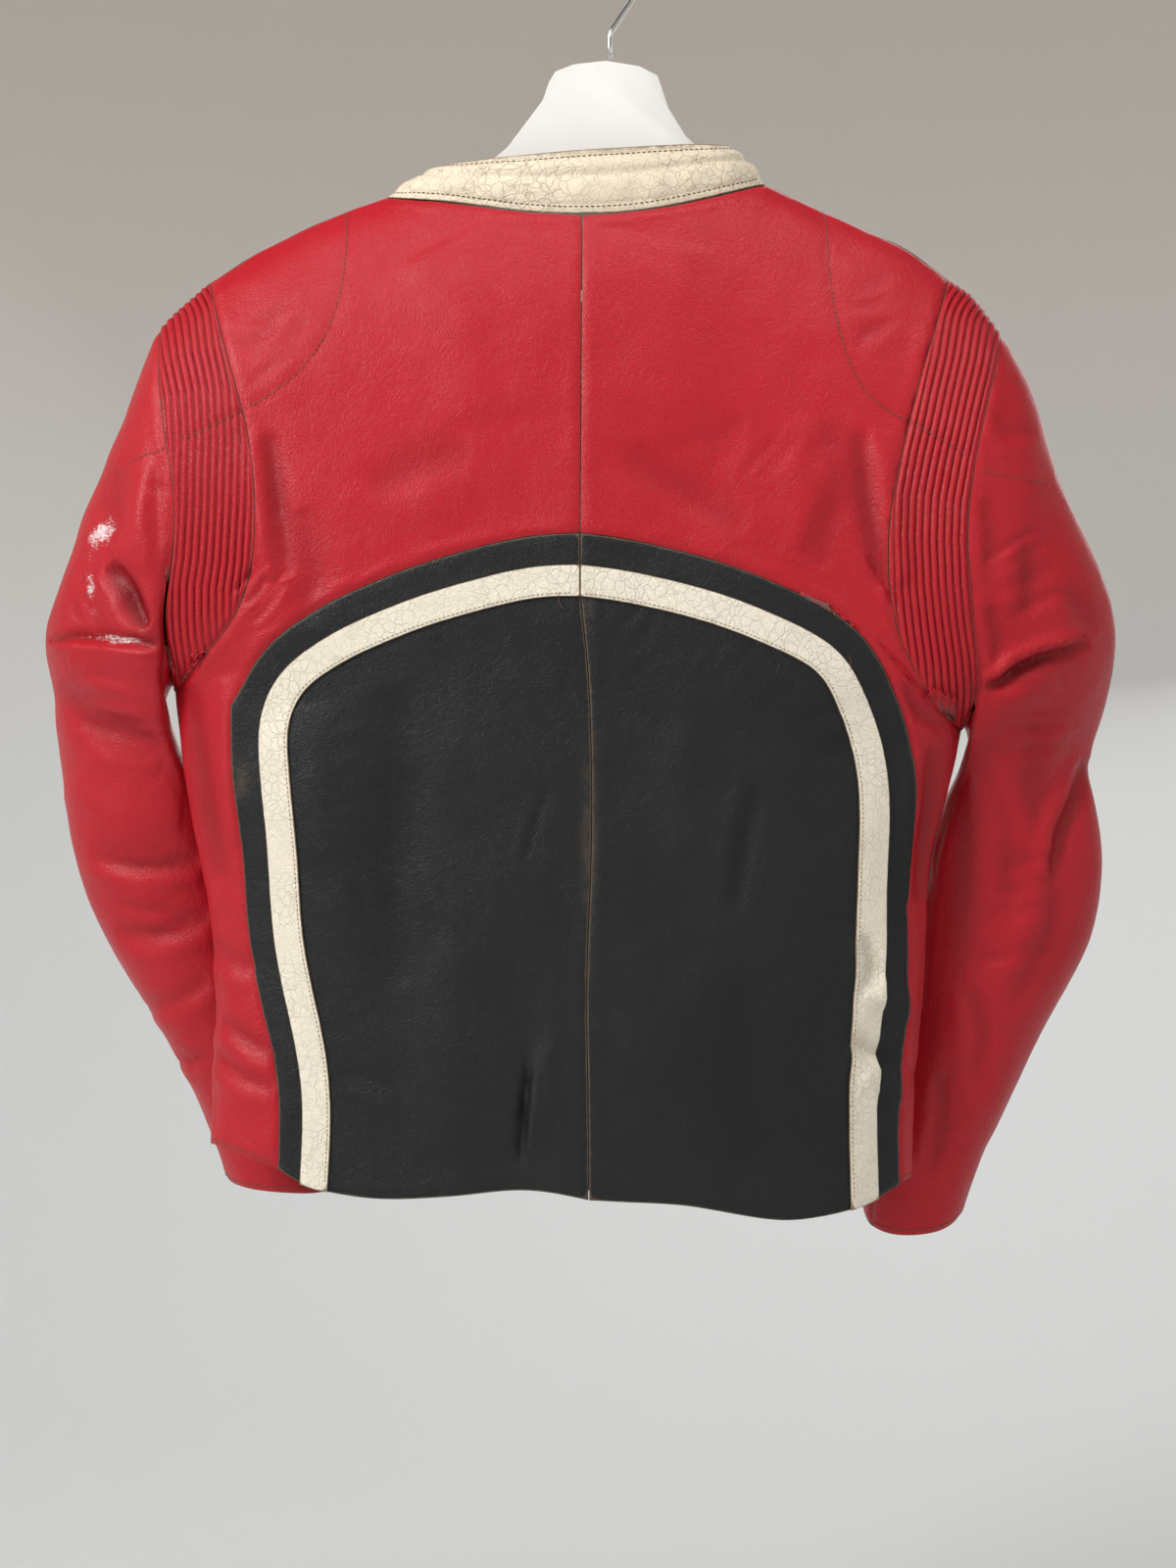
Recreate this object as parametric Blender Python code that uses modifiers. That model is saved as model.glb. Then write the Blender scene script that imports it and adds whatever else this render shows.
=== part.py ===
"""Leather motorcycle jacket hanging on a board hanger.

The back of the jacket faces -Y and its right side is at +X.  The origin is the
inner top of the hook, so every part of the jacket hangs below it.  Tables are
in millimetres: x to the right, drop downwards from the origin, y forwards.
"""
import math

import bpy
from mathutils import Vector

MM = 0.001

# Leather and seams
LEATHER = 1.4
COLLAR_LEATHER = 2.4
STRIPE_LEATHER = 1.2
SEAM_GAP = 0.4
COLLAR_GAP = 0.3
LAYER_GAP = 0.3
BLACK_LIFT = 1.1
MITRE_LIMIT = 0.4
SHARP_ANGLE = 50.0

# Outlines are drawn as seen from behind, on the plane y = 0, by an eye that is
# this far away and level with this centre.  Nearer surfaces look larger.
EYE_RANGE = 1600.0
EYE_X = -12.4
EYE_DROP = 519.0

# Shape of the body: roundness of its sides and of the shoulder line
SIDE_POWER = 3.0
SHOULDER_RADIUS = 110.0
SLOPE_STEP = 0.5
FOLD_FADE = 400.0

# Counts of rows and columns
SIDE_ROWS = 8
FOOT_ROWS = 1
ARCH_ROWS = 8
YOKE_ROWS = 8
RED_SHOULDER_COLS = 4
NECK_COLS = 5
STRIPE_COLS = 2
FRONT_COLS = 8
FRONT_ARM_ROWS = 11
FRONT_NECK_COLS = 6
YOKE_COLS = 3
COLLAR_ROWS = 4
RIBS = 11
RIB_HEIGHT = 1.3

# Spacing of rows and columns: crowding at the neck corner, how far border lines
# are held into a grid, and how columns crowd beside the armpit
NECK_CROWDING = 1.7
BORDER_HOLD = 3.0
BLACK_HOLD = 1.5
BACK_CROWDING = (0.5, 0.25)
FRONT_CROWDING = (0.6, 0.3)

# Stripe on the black arch, at the hem and at the centre
STRIPE_INSET_HEM = 14.0
STRIPE_INSET_TOP = 20.0
STRIPE_WIDTH_HEM = 18.0
STRIPE_WIDTH_TOP = 20.5
ARCH_SIDE_SHARE = 0.6
ARCH_MIDDLE_DROP = 620.0
STRETCH_LOW_SHARE = 0.5

CENTRE_X = -16.5
ZIP_HALF_GAP = 5.0
ZIP_TAPE_HALF = 12.0
ZIP_TAPE_LEATHER = 0.8
ZIP_CHAIN_HALF = 2.7
ZIP_CHAIN_HEIGHT = 1.7
ZIP_CHAIN_LIFT = 0.2

# Body depth: drop, half depth
DEPTH = (
    (110, 38), (160, 40), (230, 46), (300, 52), (400, 56),
    (500, 57), (600, 56), (700, 53), (800, 50),
)

# Side outline of the body: drop, x.  Above the armpit it flares into the sleeve.
SIDE_LINE = {
    "left": (
        (110, -450), (230, -430), (330, -390), (400, -335), (435, -298), (452, -281),
        (460, -274), (476, -272.8), (521, -267.8), (559, -259.8), (593, -252), (632, -249.2),
        (672, -248), (699, -250.5), (746, -251.7), (800, -252),
    ),
    "right": (
        (110, 430), (230, 405), (340, 370), (420, 312), (455, 272), (474, 242),
        (485.5, 223.8), (513, 218), (537, 212.5), (568, 206), (600, 203), (640, 197.5),
        (688, 194.5), (721, 193), (759, 193.5), (800, 192),
    ),
}

# Shoulder line of the body with the neck bridged over: x, drop
CREST = (
    (-283.3, 231.9), (-274, 221.3), (-261, 209.6), (-251.7, 201.5), (-216.4, 180.4),
    (-184.1, 164.3), (-164.9, 156.9), (-140.1, 147.6), (-100, 128), (-60, 118),
    (-16, 114), (30, 117), (70, 126), (99.8, 139.5), (125.2, 151.9), (157.5, 166.8),
    (196.5, 184.1), (215.8, 199.6), (230.6, 210.2), (239.9, 222), (249.2, 235.6),
)

# Named places on the outline: x, drop
PLACES = {
    "left": {
        "armpit": (-274.0, 460.0), "stretch_foot": (-266.0, 450.5),
        "stretch_top": (-251.7, 201.5), "shoulder_tip": (-283.3, 231.9),
        "neck": (-140.1, 147.6), "yoke_top": (-166.0, 157.4), "side_hem": (-251.7, 746.5),
    },
    "right": {
        "armpit": (223.8, 485.5), "stretch_foot": (215.0, 476.5),
        "stretch_top": (215.8, 199.6), "shoulder_tip": (249.2, 235.6),
        "neck": (99.8, 139.5), "yoke_top": (137.0, 157.4), "side_hem": (192.0, 768.0),
    },
}
APEX = (-17.4, 360.2)
NECK_BACK = (-16.1, 158.9)
NECK_FRONT_DROP = 214.0
YOKE_FRONT_DROP = 300.0
FRONT_HEM_DROP = 776.0
HEM_CENTRE = (-11.8, 782.4)

# Outer edge of the black arch, hem to apex: x, drop
ARCH = {
    "left": (
        (-208.6, 762.6), (-206.5, 712.4), (-217.6, 661.5), (-225.1, 632.4), (-228.2, 592.7),
        (-233.7, 528.2), (-238.7, 484.2), (-235.6, 462.5), (-229.4, 447.6), (-203.4, 421),
        (-179.8, 405.5), (-149.4, 391.8), (-118.4, 379.4), (-87.4, 370.8), (-56.4, 362.5),
        (-33.5, 360), APEX,
    ),
    "right": (
        (184.5, 772.5), (185.5, 752), (182, 721), (187, 688), (188, 640), (191, 600),
        (192, 569.8), (194.5, 543.7), (195, 518.3), (187.5, 476.2), (172.4, 440.2),
        (158.7, 420.4), (140.7, 408), (110.4, 393.7), (80.6, 381.3), (50.2, 372.6),
        (13, 363.9), APEX,
    ),
}

# Centre back seam of the black panels, below the stripe: x, drop
BLACK_SEAM = (
    (-17.4, 400.7), (-13.6, 425.3), (-11.2, 468.7), (-9.9, 515.2), (-10.5, 576.6),
    (-13.6, 643), (-12.4, 705), HEM_CENTRE,
)

# Stretch panel edges, foot to shoulder: x, drop
STRETCH_INNER = {
    "left": (
        (-266, 450.5), (-250.5, 431.5), (-237.5, 416.6), (-228.8, 394.9), (-223.8, 369.5),
        (-222.6, 348.4), (-223.8, 320.5), (-228.8, 290.8), (-237.5, 260.4), (-246.1, 228.8),
        (-251.7, 201.5),
    ),
    "right": (
        (215, 476.5), (199, 455.7), (187.2, 432.8), (180.4, 409.8), (177.9, 382.5),
        (177.9, 352.8), (182.9, 322.4), (191, 289.5), (200.9, 251.7), (210.2, 222),
        (215.8, 199.6),
    ),
}
STRETCH_OUTER = {
    "left": (
        (-274, 460), (-276, 448.3), (-279.5, 429), (-280.5, 409.8), (-278, 393),
        (-275.9, 375.7), (-274, 348.4), (-275.3, 326.7), (-280.2, 301.3), (-283.3, 273.4),
        (-285, 250), (-283.3, 231.9),
    ),
    "right": (
        (223.8, 485.5), (230.5, 474.3), (234, 458.2), (234.2, 439.6), (232, 416.6),
        (230, 391.2), (227.5, 363.9), (228.8, 341), (233.1, 313.7), (239.9, 281.5),
        (246.5, 253.6), (249.2, 235.6),
    ),
}

# Front armhole, armpit to shoulder: x, drop
ARMHOLE_FRONT = {
    "left": (
        (-274, 460), (-266, 440), (-256, 405), (-252, 360), (-256, 315), (-268, 268),
        (-283.3, 231.9),
    ),
    "right": (
        (223.8, 485.5), (216, 460), (206, 415), (204, 365), (212, 315), (232, 268),
        (249.2, 235.6),
    ),
}

# Hem of the back: x, drop
BACK_HEM = {
    "left": (
        (-208.6, 762.6), (-196, 771.5), (-178.6, 776.9), (-156.2, 781.2), (-103.5, 780.6),
        (-51.5, 776.2), (-34.1, 777.5), HEM_CENTRE,
    ),
    "right": (
        (184.5, 772.5), (173, 780), (160, 786.2), (133.3, 793), (112.8, 795.5),
        (75, 789.9), (41.5, 784.9), (16.7, 784.3), HEM_CENTRE,
    ),
}

# Collar neckline at the back, side to centre: x, drop
NECK_LINE_BACK = {
    "left": ((-140.1, 147.6), (-96.7, 150.7), (-62, 156.2), (-38, 158.4), NECK_BACK),
    "right": ((99.8, 139.5), (94.9, 140.5), (60.1, 148.8), (25.4, 156.2), NECK_BACK),
}

# Largest folds of the body: side of the body, two ends (x, drop), reach, height
BODY_FOLDS = (
    ("back", (-52, 640), (-56, 770), 17, -4.0),
    ("back", (-30, 660), (-28, 775), 15, 2.5),
    ("back", (205, 555), (193, 640), 12, -4.0),
    ("back", (60, 440), (150, 500), 22, -2.5),
    ("back", (170, 620), (182, 650), 14, 4.0),
    ("back", (168, 690), (184, 720), 14, -3.0),
    ("back", (-240, 640), (-215, 740), 16, 3.0),
    ("back", (-150, 520), (-140, 740), 34, -3.0),
    ("back", (90, 560), (100, 780), 36, 3.0),
    ("back", (-130, 200), (-60, 330), 30, -2.0),
    ("back", (110, 200), (60, 330), 30, -2.0),
    ("front", (-120, 420), (-150, 770), 26, 5.0),
    ("front", (90, 430), (110, 770), 26, 5.0),
    ("front", (-200, 470), (-90, 600), 22, -4.0),
    ("front", (160, 490), (60, 610), 22, -4.0),
    ("front", (-70, 250), (-75, 520), 24, -3.0),
    ("front", (40, 250), (45, 520), 24, -3.0),
)

# Sleeve rings below the armhole: outer x, drop, inner x, drop, half depth, centre y
SLEEVE_RINGS = {
    "left": (
        (-296, 258.5, -280, 466, 45, 4), (-308, 292.6, -279, 472, 48, 8),
        (-325, 335.4, -276, 480, 50, 14), (-340, 373, -273, 489, 50, 21),
        (-352.8, 408, -268, 500, 50, 30), (-357, 426, -261, 514, 49, 39),
        (-355.3, 444.5, -254, 530, 48, 47), (-348.4, 468, -248, 548, 47, 53),
        (-347, 495, -243, 568, 46, 57), (-343.5, 532, -237, 590, 46, 60),
        (-336.7, 566.7, -230, 614, 45, 62), (-327.4, 596.4, -222, 640, 44, 65),
        (-313, 625.6, -214, 666, 43, 68), (-291.4, 659, -205, 693, 42, 72),
        (-271.6, 695.6, -196, 718, 41, 76), (-255.4, 724.8, -187, 740, 41, 80),
        (-240.5, 768, -172, 772, 41, 82),
    ),
    "right": (
        (266, 261.6, 229, 491, 45, 4), (276.5, 290.8, 228, 496, 48, 8),
        (284, 325, 226, 501, 50, 13), (302, 359.6, 223.5, 506, 50, 19),
        (316.2, 395, 221, 512, 50, 26), (324.3, 422.8, 216.5, 520, 49, 33),
        (321.2, 450.7, 211, 532, 48, 41), (312.5, 480.5, 205, 548, 47, 47),
        (303.2, 504.7, 200, 566, 46, 51), (305.7, 528, 196, 586, 46, 54),
        (311.2, 559, 192, 609, 45, 57), (311.2, 590, 189, 636, 44, 60),
        (303.8, 625.6, 185, 666, 43, 63), (282, 663.4, 178, 700, 42, 66),
        (263.5, 697, 171, 727, 41, 70), (241.8, 741, 164, 752, 41, 74),
        (224.4, 784, 160.6, 786, 41, 78),
    ),
}
CUFF_SAG = {"left": 8.0, "right": 20.0}
CUFF_SAG_RINGS = 3
SLEEVE_BOXINESS = 0.88
SLEEVE_TURN = 0.78
UNDER_BACK_COLS = 2
UNDER_FRONT_COLS = 2

# Largest folds of the sleeves: ring, angle, reach in rings, reach in degrees, height.
# The angle runs from the armpit at 0 over the back to the outer edge at 180.
SLEEVE_FOLDS = {
    "left": (
        (4.6, 118, 1.1, 26, -9), (5.8, 110, 0.9, 45, 3), (6.8, 105, 0.8, 50, -3),
        (10.5, 70, 1.2, 22, -5), (9.2, 95, 1.0, 40, 3), (12.5, 100, 1.2, 40, -3),
        (6.0, 260, 1.2, 40, -6), (8.2, 270, 1.0, 50, 4), (11.0, 250, 1.3, 40, -4),
    ),
    "right": (
        (6.5, 110, 0.9, 60, -6), (5.2, 120, 1.0, 45, 4), (8.6, 150, 1.0, 22, -7),
        (10.6, 172, 1.6, 22, 4), (9.8, 128, 1.8, 18, -5), (12.2, 60, 1.3, 25, -4),
        (6.2, 260, 1.2, 40, -6), (8.4, 270, 1.0, 50, 4), (11.5, 250, 1.3, 40, -4),
    ),
}

# Collar: its top edge, how it bulges and how far its foot leans with the body
COLLAR_TOP_X = -13.6
COLLAR_TOP_HALF = 90.0
COLLAR_TOP_DEPTH = 29.0
COLLAR_TOP_BACK = 117.0
COLLAR_TOP_SIDE = 121.0
COLLAR_TOP_FRONT = 176.0
COLLAR_RIGHT_RISE = 6.5
COLLAR_BULGE = 3.0
COLLAR_FOOT_LEAN = 0.5
COLLAR_FRONT_POWER = 1.5

# Hanger board, its outline as x, drop
BOARD_NECK_LEFT = (
    (-116, 152), (-86, 136), (-63.2, 117.2), (-52, 102.3), (-40.9, 87.4), (-37, 76),
    (-32.9, 69.4), (-22, 65),
)
BOARD_NECK_RIGHT = ((20, 66), (31.6, 71.9), (38.4, 92.4), (49, 109.7), (64, 124), (80, 142))
BOARD_TOP = (-1.0, 62.6)
BOARD_ARM_X = {"left": (-228, -205, -180, -158, -143), "right": (104, 120, 140, 165, 186)}
BOARD_BELOW_CREST = 4.8
BOARD_ARM_HEIGHT = 30.0
BOARD_CENTRE_LOW = 206.0
BOARD_THICK = 9.0
BOARD_EDGE = 2.5
BOARD_EDGE_STEPS = 2
BOARD_CORNER_ANGLE = 60.0
BOARD_LOW_SHIFT = 3.0
WELD_DISTANCE = 0.01

# Hook
HOOK_WIRE = 3.8
HOOK_RADIUS = 17.4
HOOK_TIP_ANGLE = 205.0
HOOK_LEAVE_ANGLE = -33.0
HOOK_STEM = ((1.2, 62.3), (1.2, 56.0), (1.2, 49.0), (1.6, 43.0))
HOOK_NECK_SHARES = (0.25, 0.5, 0.75)
HOOK_NECK_BOW = 2.0
HOOK_SIDES = 2
HOOK_STEPS = 16

# Zip slider and pull tab
SLIDER_DROP = 236.0
SLIDER_WIDTH = 8.0
SLIDER_HEIGHT = 11.0
SLIDER_THICK = 2.8
EAR_WIDTH = 1.4
EAR_REACH = 5.0
EAR_HEIGHT = 5.0
PULL_WIDTH = 7.0
PULL_LENGTH = 30.0
PULL_THICK = 1.4
PULL_STEM_SHARE = 0.8
PULL_STEM_LENGTH = 4.0
PULL_OVERLAP = 0.4
SLIDER_OFF_CHAIN = 1.2
EAR_SUNK = 1.0
PIN_RADIUS = 0.9
PIN_SIDES = 12

COLOURS = {
    "red": ((0.42, 0.010, 0.018), 0.42, 0.0),
    "black": ((0.012, 0.014, 0.016), 0.38, 0.0),
    "cream": ((0.66, 0.61, 0.48), 0.55, 0.0),
    "stripe": ((0.75, 0.71, 0.58), 0.50, 0.0),
    "white_paint": ((0.84, 0.83, 0.80), 0.45, 0.0),
    "chrome": ((0.75, 0.75, 0.76), 0.12, 1.0),
    "tape": ((0.02, 0.02, 0.02), 0.85, 0.0),
    "brass": ((0.60, 0.52, 0.36), 0.30, 1.0),
}


def clear_scene():
    """Remove whatever the scene holds."""
    for thing in list(bpy.data.objects):
        bpy.data.objects.remove(thing, do_unlink=True)


def make_materials():
    """One Principled material for each finish."""
    made = {}
    for name, (colour, roughness, metallic) in COLOURS.items():
        material = bpy.data.materials.new(name)
        material.use_nodes = True
        shader = material.node_tree.nodes["Principled BSDF"]
        shader.inputs["Base Color"].default_value = (*colour, 1.0)
        shader.inputs["Roughness"].default_value = roughness
        shader.inputs["Metallic"].default_value = metallic
        made[name] = material
    return made


def smooth_value(keys, values, at):
    """Value at a key on the smooth curve through the rows, straight past its ends."""
    last = len(keys) - 1

    def steepness(i):
        before = (values[i] - values[i - 1]) / (keys[i] - keys[i - 1]) if i > 0 else None
        after = (values[i + 1] - values[i]) / (keys[i + 1] - keys[i]) if i < last else None
        if before is None:
            return after
        if after is None:
            return before
        left, right = keys[i] - keys[i - 1], keys[i + 1] - keys[i]
        return (before * right + after * left) / (left + right)

    if at <= keys[0]:
        return values[0] + (at - keys[0]) * steepness(0)
    if at >= keys[last]:
        return values[last] + (at - keys[last]) * steepness(last)
    i = max(k for k in range(last) if keys[k] <= at)
    span = keys[i + 1] - keys[i]
    t = (at - keys[i]) / span
    rise = t * t * (3 - 2 * t)
    return (
        values[i] * (1 - rise) + values[i + 1] * rise
        + span * steepness(i) * t * (1 - t) * (1 - t)
        - span * steepness(i + 1) * t * t * (1 - t)
    )


def graph(rows):
    """Function that reads a smooth value off two-column rows."""
    keys, values = zip(*rows)
    return lambda at: smooth_value(keys, values, at)


def sampled(rows, shares):
    """Points of the smooth line through the rows, at shares of its length."""
    keys = [0.0]
    for one, two in zip(rows, rows[1:]):
        keys.append(keys[-1] + math.dist(one, two))
    columns = list(zip(*rows))
    return [tuple(smooth_value(keys, column, share * keys[-1]) for column in columns)
            for share in shares]


def even(count):
    """Even shares from 0 to 1."""
    return [i / count for i in range(count + 1)]


def closing(count):
    """Shares from 0 to 1 that crowd together towards 1."""
    return [1 - (1 - i / count) ** 2 for i in range(count + 1)]


def opening(count):
    """Shares from 0 to 1 that crowd together at 0."""
    return [(i / count) ** NECK_CROWDING for i in range(count + 1)]


def mixed(one, two, share):
    """Point between two points."""
    return tuple(a + (b - a) * share for a, b in zip(one, two))


DEPTH_AT = graph(DEPTH)
CREST_AT = graph(CREST)
SIDE_AT = {name: graph(rows) for name, rows in SIDE_LINE.items()}


def body_square(x, drop):
    """Square of the body's half depth: nought on its outline."""
    side = SIDE_AT["left" if x < CENTRE_X else "right"](drop)
    across = 1 - abs((x - CENTRE_X) / (side - CENTRE_X)) ** SIDE_POWER
    below = min((drop - CREST_AT(x)) / SHOULDER_RADIUS, 1.0)
    return DEPTH_AT(drop) ** 2 * across * (1 - (1 - below) ** 2)


def fold_height(face, x, drop):
    """Height of the large folds at a place on the body."""
    height = 0.0
    for fold_face, start, end, reach, depth in BODY_FOLDS:
        if fold_face != face:
            continue
        run = (end[0] - start[0], end[1] - start[1])
        share = ((x - start[0]) * run[0] + (drop - start[1]) * run[1]) / (run[0] ** 2 + run[1] ** 2)
        near = mixed(start, end, min(max(share, 0.0), 1.0))
        height += depth * math.exp(-(math.dist((x, drop), near) / reach) ** 2)
    return height


def placed(x, drop, y):
    """Place in the room of a point that is seen at x, drop and lies at depth y."""
    spread = 1 + y / EYE_RANGE
    return Vector((
        EYE_X + (x - EYE_X) * spread,
        y,
        -(EYE_DROP + (drop - EYE_DROP) * spread),
    ))


def on_body(face, x, drop):
    """Spot on the body's outer surface and the way out of it."""
    sign = -1 if face == "back" else 1
    step = SLOPE_STEP
    square = max(body_square(x, drop), 0.0)
    slope_x = (body_square(x + step, drop) - body_square(x - step, drop)) / (2 * step)
    slope_drop = (body_square(x, drop + step) - body_square(x, drop - step)) / (2 * step)
    y = sign * math.sqrt(square)
    way = Vector((-slope_x, 2 * y, slope_drop)).normalized()
    fade = min(square / FOLD_FADE, 1.0)
    return placed(x, drop, y) + way * fold_height(face, x, drop) * fade, way


class Sheet:
    """Open surface of triangles whose corners know the way out."""

    def __init__(self):
        self.spots = []
        self.ways = []
        self.raises = []
        self.faces = []
        self.known = {}

    def corner(self, spot, way, height=0.0):
        """Number of a corner, shared with one that is already there."""
        key = tuple(round(value, 3) for value in spot)
        if key not in self.known:
            self.known[key] = len(self.spots)
            self.spots.append(spot)
            self.ways.append(way)
            self.raises.append(height)
        return self.known[key]

    def add(self, rows, heights=None):
        """Add the faces between rows of (spot, way) pairs."""
        numbers = []
        for r, row in enumerate(rows):
            lifts = heights[r] if heights else [0.0] * len(row)
            numbers.append([self.corner(spot, way, lift) for (spot, way), lift in zip(row, lifts)])
        faces = []
        for low, high in zip(numbers, numbers[1:]):
            for i in range(len(low) - 1):
                faces.append([low[i], low[i + 1], high[i + 1]])
                faces.append([low[i], high[i + 1], high[i]])
        if sum(self.facing(face) for face in faces) < 0:
            faces = [face[::-1] for face in faces]
        self.faces += faces

    def facing(self, face):
        """Area of a face, negative where its order points it in."""
        a, b, c = (self.spots[n] for n in face)
        way = sum((self.ways[n] for n in face), Vector()).normalized()
        return (b - a).cross(c - a).dot(way)


def border(sheet):
    """Directed edges that belong to one face only."""
    edges = {}
    for face in sheet.faces:
        for i, number in enumerate(face):
            edges[(face[i - 1], number)] = True
    return [edge for edge in edges if (edge[1], edge[0]) not in edges]


def drawn_in(sheet, edges, gap):
    """Shift of each border corner that leaves the gap beside it."""
    pulls = {}
    for one, two in edges:
        run = (sheet.spots[two] - sheet.spots[one]).normalized()
        for number in (one, two):
            pull = sheet.ways[number].cross(run).normalized()
            pulls.setdefault(number, []).append(pull)
    shifts = {}
    for number, found in pulls.items():
        total = sum(found, Vector())
        meet = max(1 + found[0].dot(found[-1]), MITRE_LIMIT)
        shifts[number] = total / meet * gap
    return shifts


def leather(name, sheet, material, thick=LEATHER, lift=0.0, gap=SEAM_GAP / 2):
    """Closed wall of leather whose outer face is the sheet, moved out by lift."""
    edges = border(sheet)
    shifts = drawn_in(sheet, edges, gap)
    outer, inner = [], []
    for number, (spot, way) in enumerate(zip(sheet.spots, sheet.ways)):
        base = spot + shifts.get(number, Vector()) + way * lift
        outer.append((base + way * sheet.raises[number]) * MM)
        inner.append((base - way * thick) * MM)
    count = len(outer)
    faces = [tuple(face) for face in sheet.faces]
    faces += [tuple(n + count for n in reversed(face)) for face in sheet.faces]
    for one, two in edges:
        if tuple(sheet.spots[one]) < tuple(sheet.spots[two]):
            faces += [(two, one, two + count), (one, one + count, two + count)]
        else:
            faces += [(two, one, one + count), (two, one + count, two + count)]
    mesh = bpy.data.meshes.new(name)
    mesh.from_pydata([tuple(v) for v in outer + inner], [], faces)
    mesh.shade_smooth()
    mesh.set_sharp_from_angle(angle=math.radians(SHARP_ANGLE))
    return finished(name, mesh, material)


def finished(name, mesh, material):
    """Object for a mesh, in the jacket's collection."""
    thing = bpy.data.objects.new(name, mesh)
    thing.data.materials.append(material)
    JACKET.objects.link(thing)
    return thing


def spread(foot, head, left, right, crowding=(), hold=BORDER_HOLD):
    """Grid of (x, drop) places between four border lists.

    Rows run from foot to head and columns from left to right.  Crowding gives,
    row by row from the foot, how strongly the columns crowd to the left.
    """
    rows, cols = len(left) - 1, len(foot) - 1
    grid = []
    for r in range(rows + 1):
        v = r / rows
        row = []
        for c in range(cols + 1):
            u = c / cols
            amount = crowding[r] if r < len(crowding) else 0.0
            u = (1 - amount) * u + amount * (1 - math.cos(u * math.pi / 2))
            place = list(mixed(left[r], right[r], u))
            low, high = mixed(left[0], right[0], u), mixed(left[-1], right[-1], u)
            for axis in (0, 1):
                place[axis] += (foot[c][axis] - low[axis]) * (1 - v) ** hold
                place[axis] += (head[c][axis] - high[axis]) * v ** hold
            row.append(tuple(place))
        grid.append(row)
    for r in range(rows + 1):
        grid[r][0], grid[r][-1] = left[r], right[r]
    grid[0], grid[-1] = list(foot), list(head)
    return grid


def laid(face, grid):
    """Rows of (spot, way) pairs for a grid of places on the body."""
    return [[on_body(face, x, drop) for x, drop in row] for row in grid]


def inset_line(points, distances, towards):
    """The line moved sideways by its distances, towards a place."""
    moved = []
    last = len(points) - 1
    for i, point in enumerate(points):
        before, after = points[max(i - 1, 0)], points[min(i + 1, last)]
        run = Vector((after[0] - before[0], after[1] - before[1])).normalized()
        side = Vector((-run.y, run.x))
        if side.dot(Vector((towards[0] - point[0], towards[1] - point[1]))) < 0:
            side = -side
        moved.append((point[0] + side.x * distances[i], point[1] + side.y * distances[i]))
    return moved


class Half:
    """Border lines of one half of the jacket."""

    def __init__(self, side):
        self.side = side
        self.out = -1 if side == "left" else 1
        self.places = PLACES[side]
        split = ARCH_SIDE_SHARE
        low_rows = SIDE_ROWS + FOOT_ROWS
        shares = [split * i / low_rows for i in range(low_rows)]
        shares += [split + (1 - split) * i / ARCH_ROWS for i in range(ARCH_ROWS + 1)]
        self.arch = sampled(ARCH[side], shares)
        insets = [STRIPE_INSET_HEM + (STRIPE_INSET_TOP - STRIPE_INSET_HEM) * s for s in shares]
        widths = [STRIPE_WIDTH_HEM + (STRIPE_WIDTH_TOP - STRIPE_WIDTH_HEM) * s for s in shares]
        self.band = [self.arch]
        for part in range(STRIPE_COLS + 1):
            reach = [a + b * part / STRIPE_COLS for a, b in zip(insets, widths)]
            line = inset_line(self.arch, reach, (CENTRE_X, ARCH_MIDDLE_DROP))
            line[-1] = (APEX[0], APEX[1] + reach[-1])
            self.band.append(line)
        hem_at = graph(sorted(BACK_HEM[side]))
        for line in self.band[1:]:
            line[0] = (line[0][0], hem_at(line[0][0]))
        self.hem_at = hem_at
        armpit, hem = self.places["armpit"], self.places["side_hem"]
        drops = [hem[1] + (armpit[1] - hem[1]) * s for s in even(SIDE_ROWS)]
        self.side_line = [(SIDE_AT[side](drop), drop) for drop in drops]
        self.side_line[-1] = armpit
        low = STRETCH_LOW_SHARE
        shares = [low * s for s in even(ARCH_ROWS)]
        shares += [low + (1 - low) * s for s in closing(YOKE_ROWS)[1:]]
        self.stretch_inner = sampled(STRETCH_INNER[side], shares)
        self.stretch_outer = sampled(STRETCH_OUTER[side], shares)
        self.armhole_front = sampled(ARMHOLE_FRONT[side], closing(FRONT_ARM_ROWS))
        self.neck_back = sampled(NECK_LINE_BACK[side], opening(NECK_COLS))
        self.neck_front = self.front_neckline()

    def front_neckline(self):
        """Neckline of the front, from the shoulder to the zip."""
        neck = self.places["neck"]
        end_x = CENTRE_X + self.out * ZIP_HALF_GAP
        line = []
        for share in even(FRONT_NECK_COLS):
            turn = share * math.pi / 2
            x = end_x + (neck[0] - end_x) * math.cos(turn)
            drop = neck[1] + (NECK_FRONT_DROP - neck[1]) * math.sin(turn)
            line.append((x, drop))
        return line

    def crest(self, start_x, end_x, count):
        """Points on the shoulder line between two x."""
        xs = [start_x + (end_x - start_x) * s for s in even(count)]
        return [(x, CREST_AT(x)) for x in xs]


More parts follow.
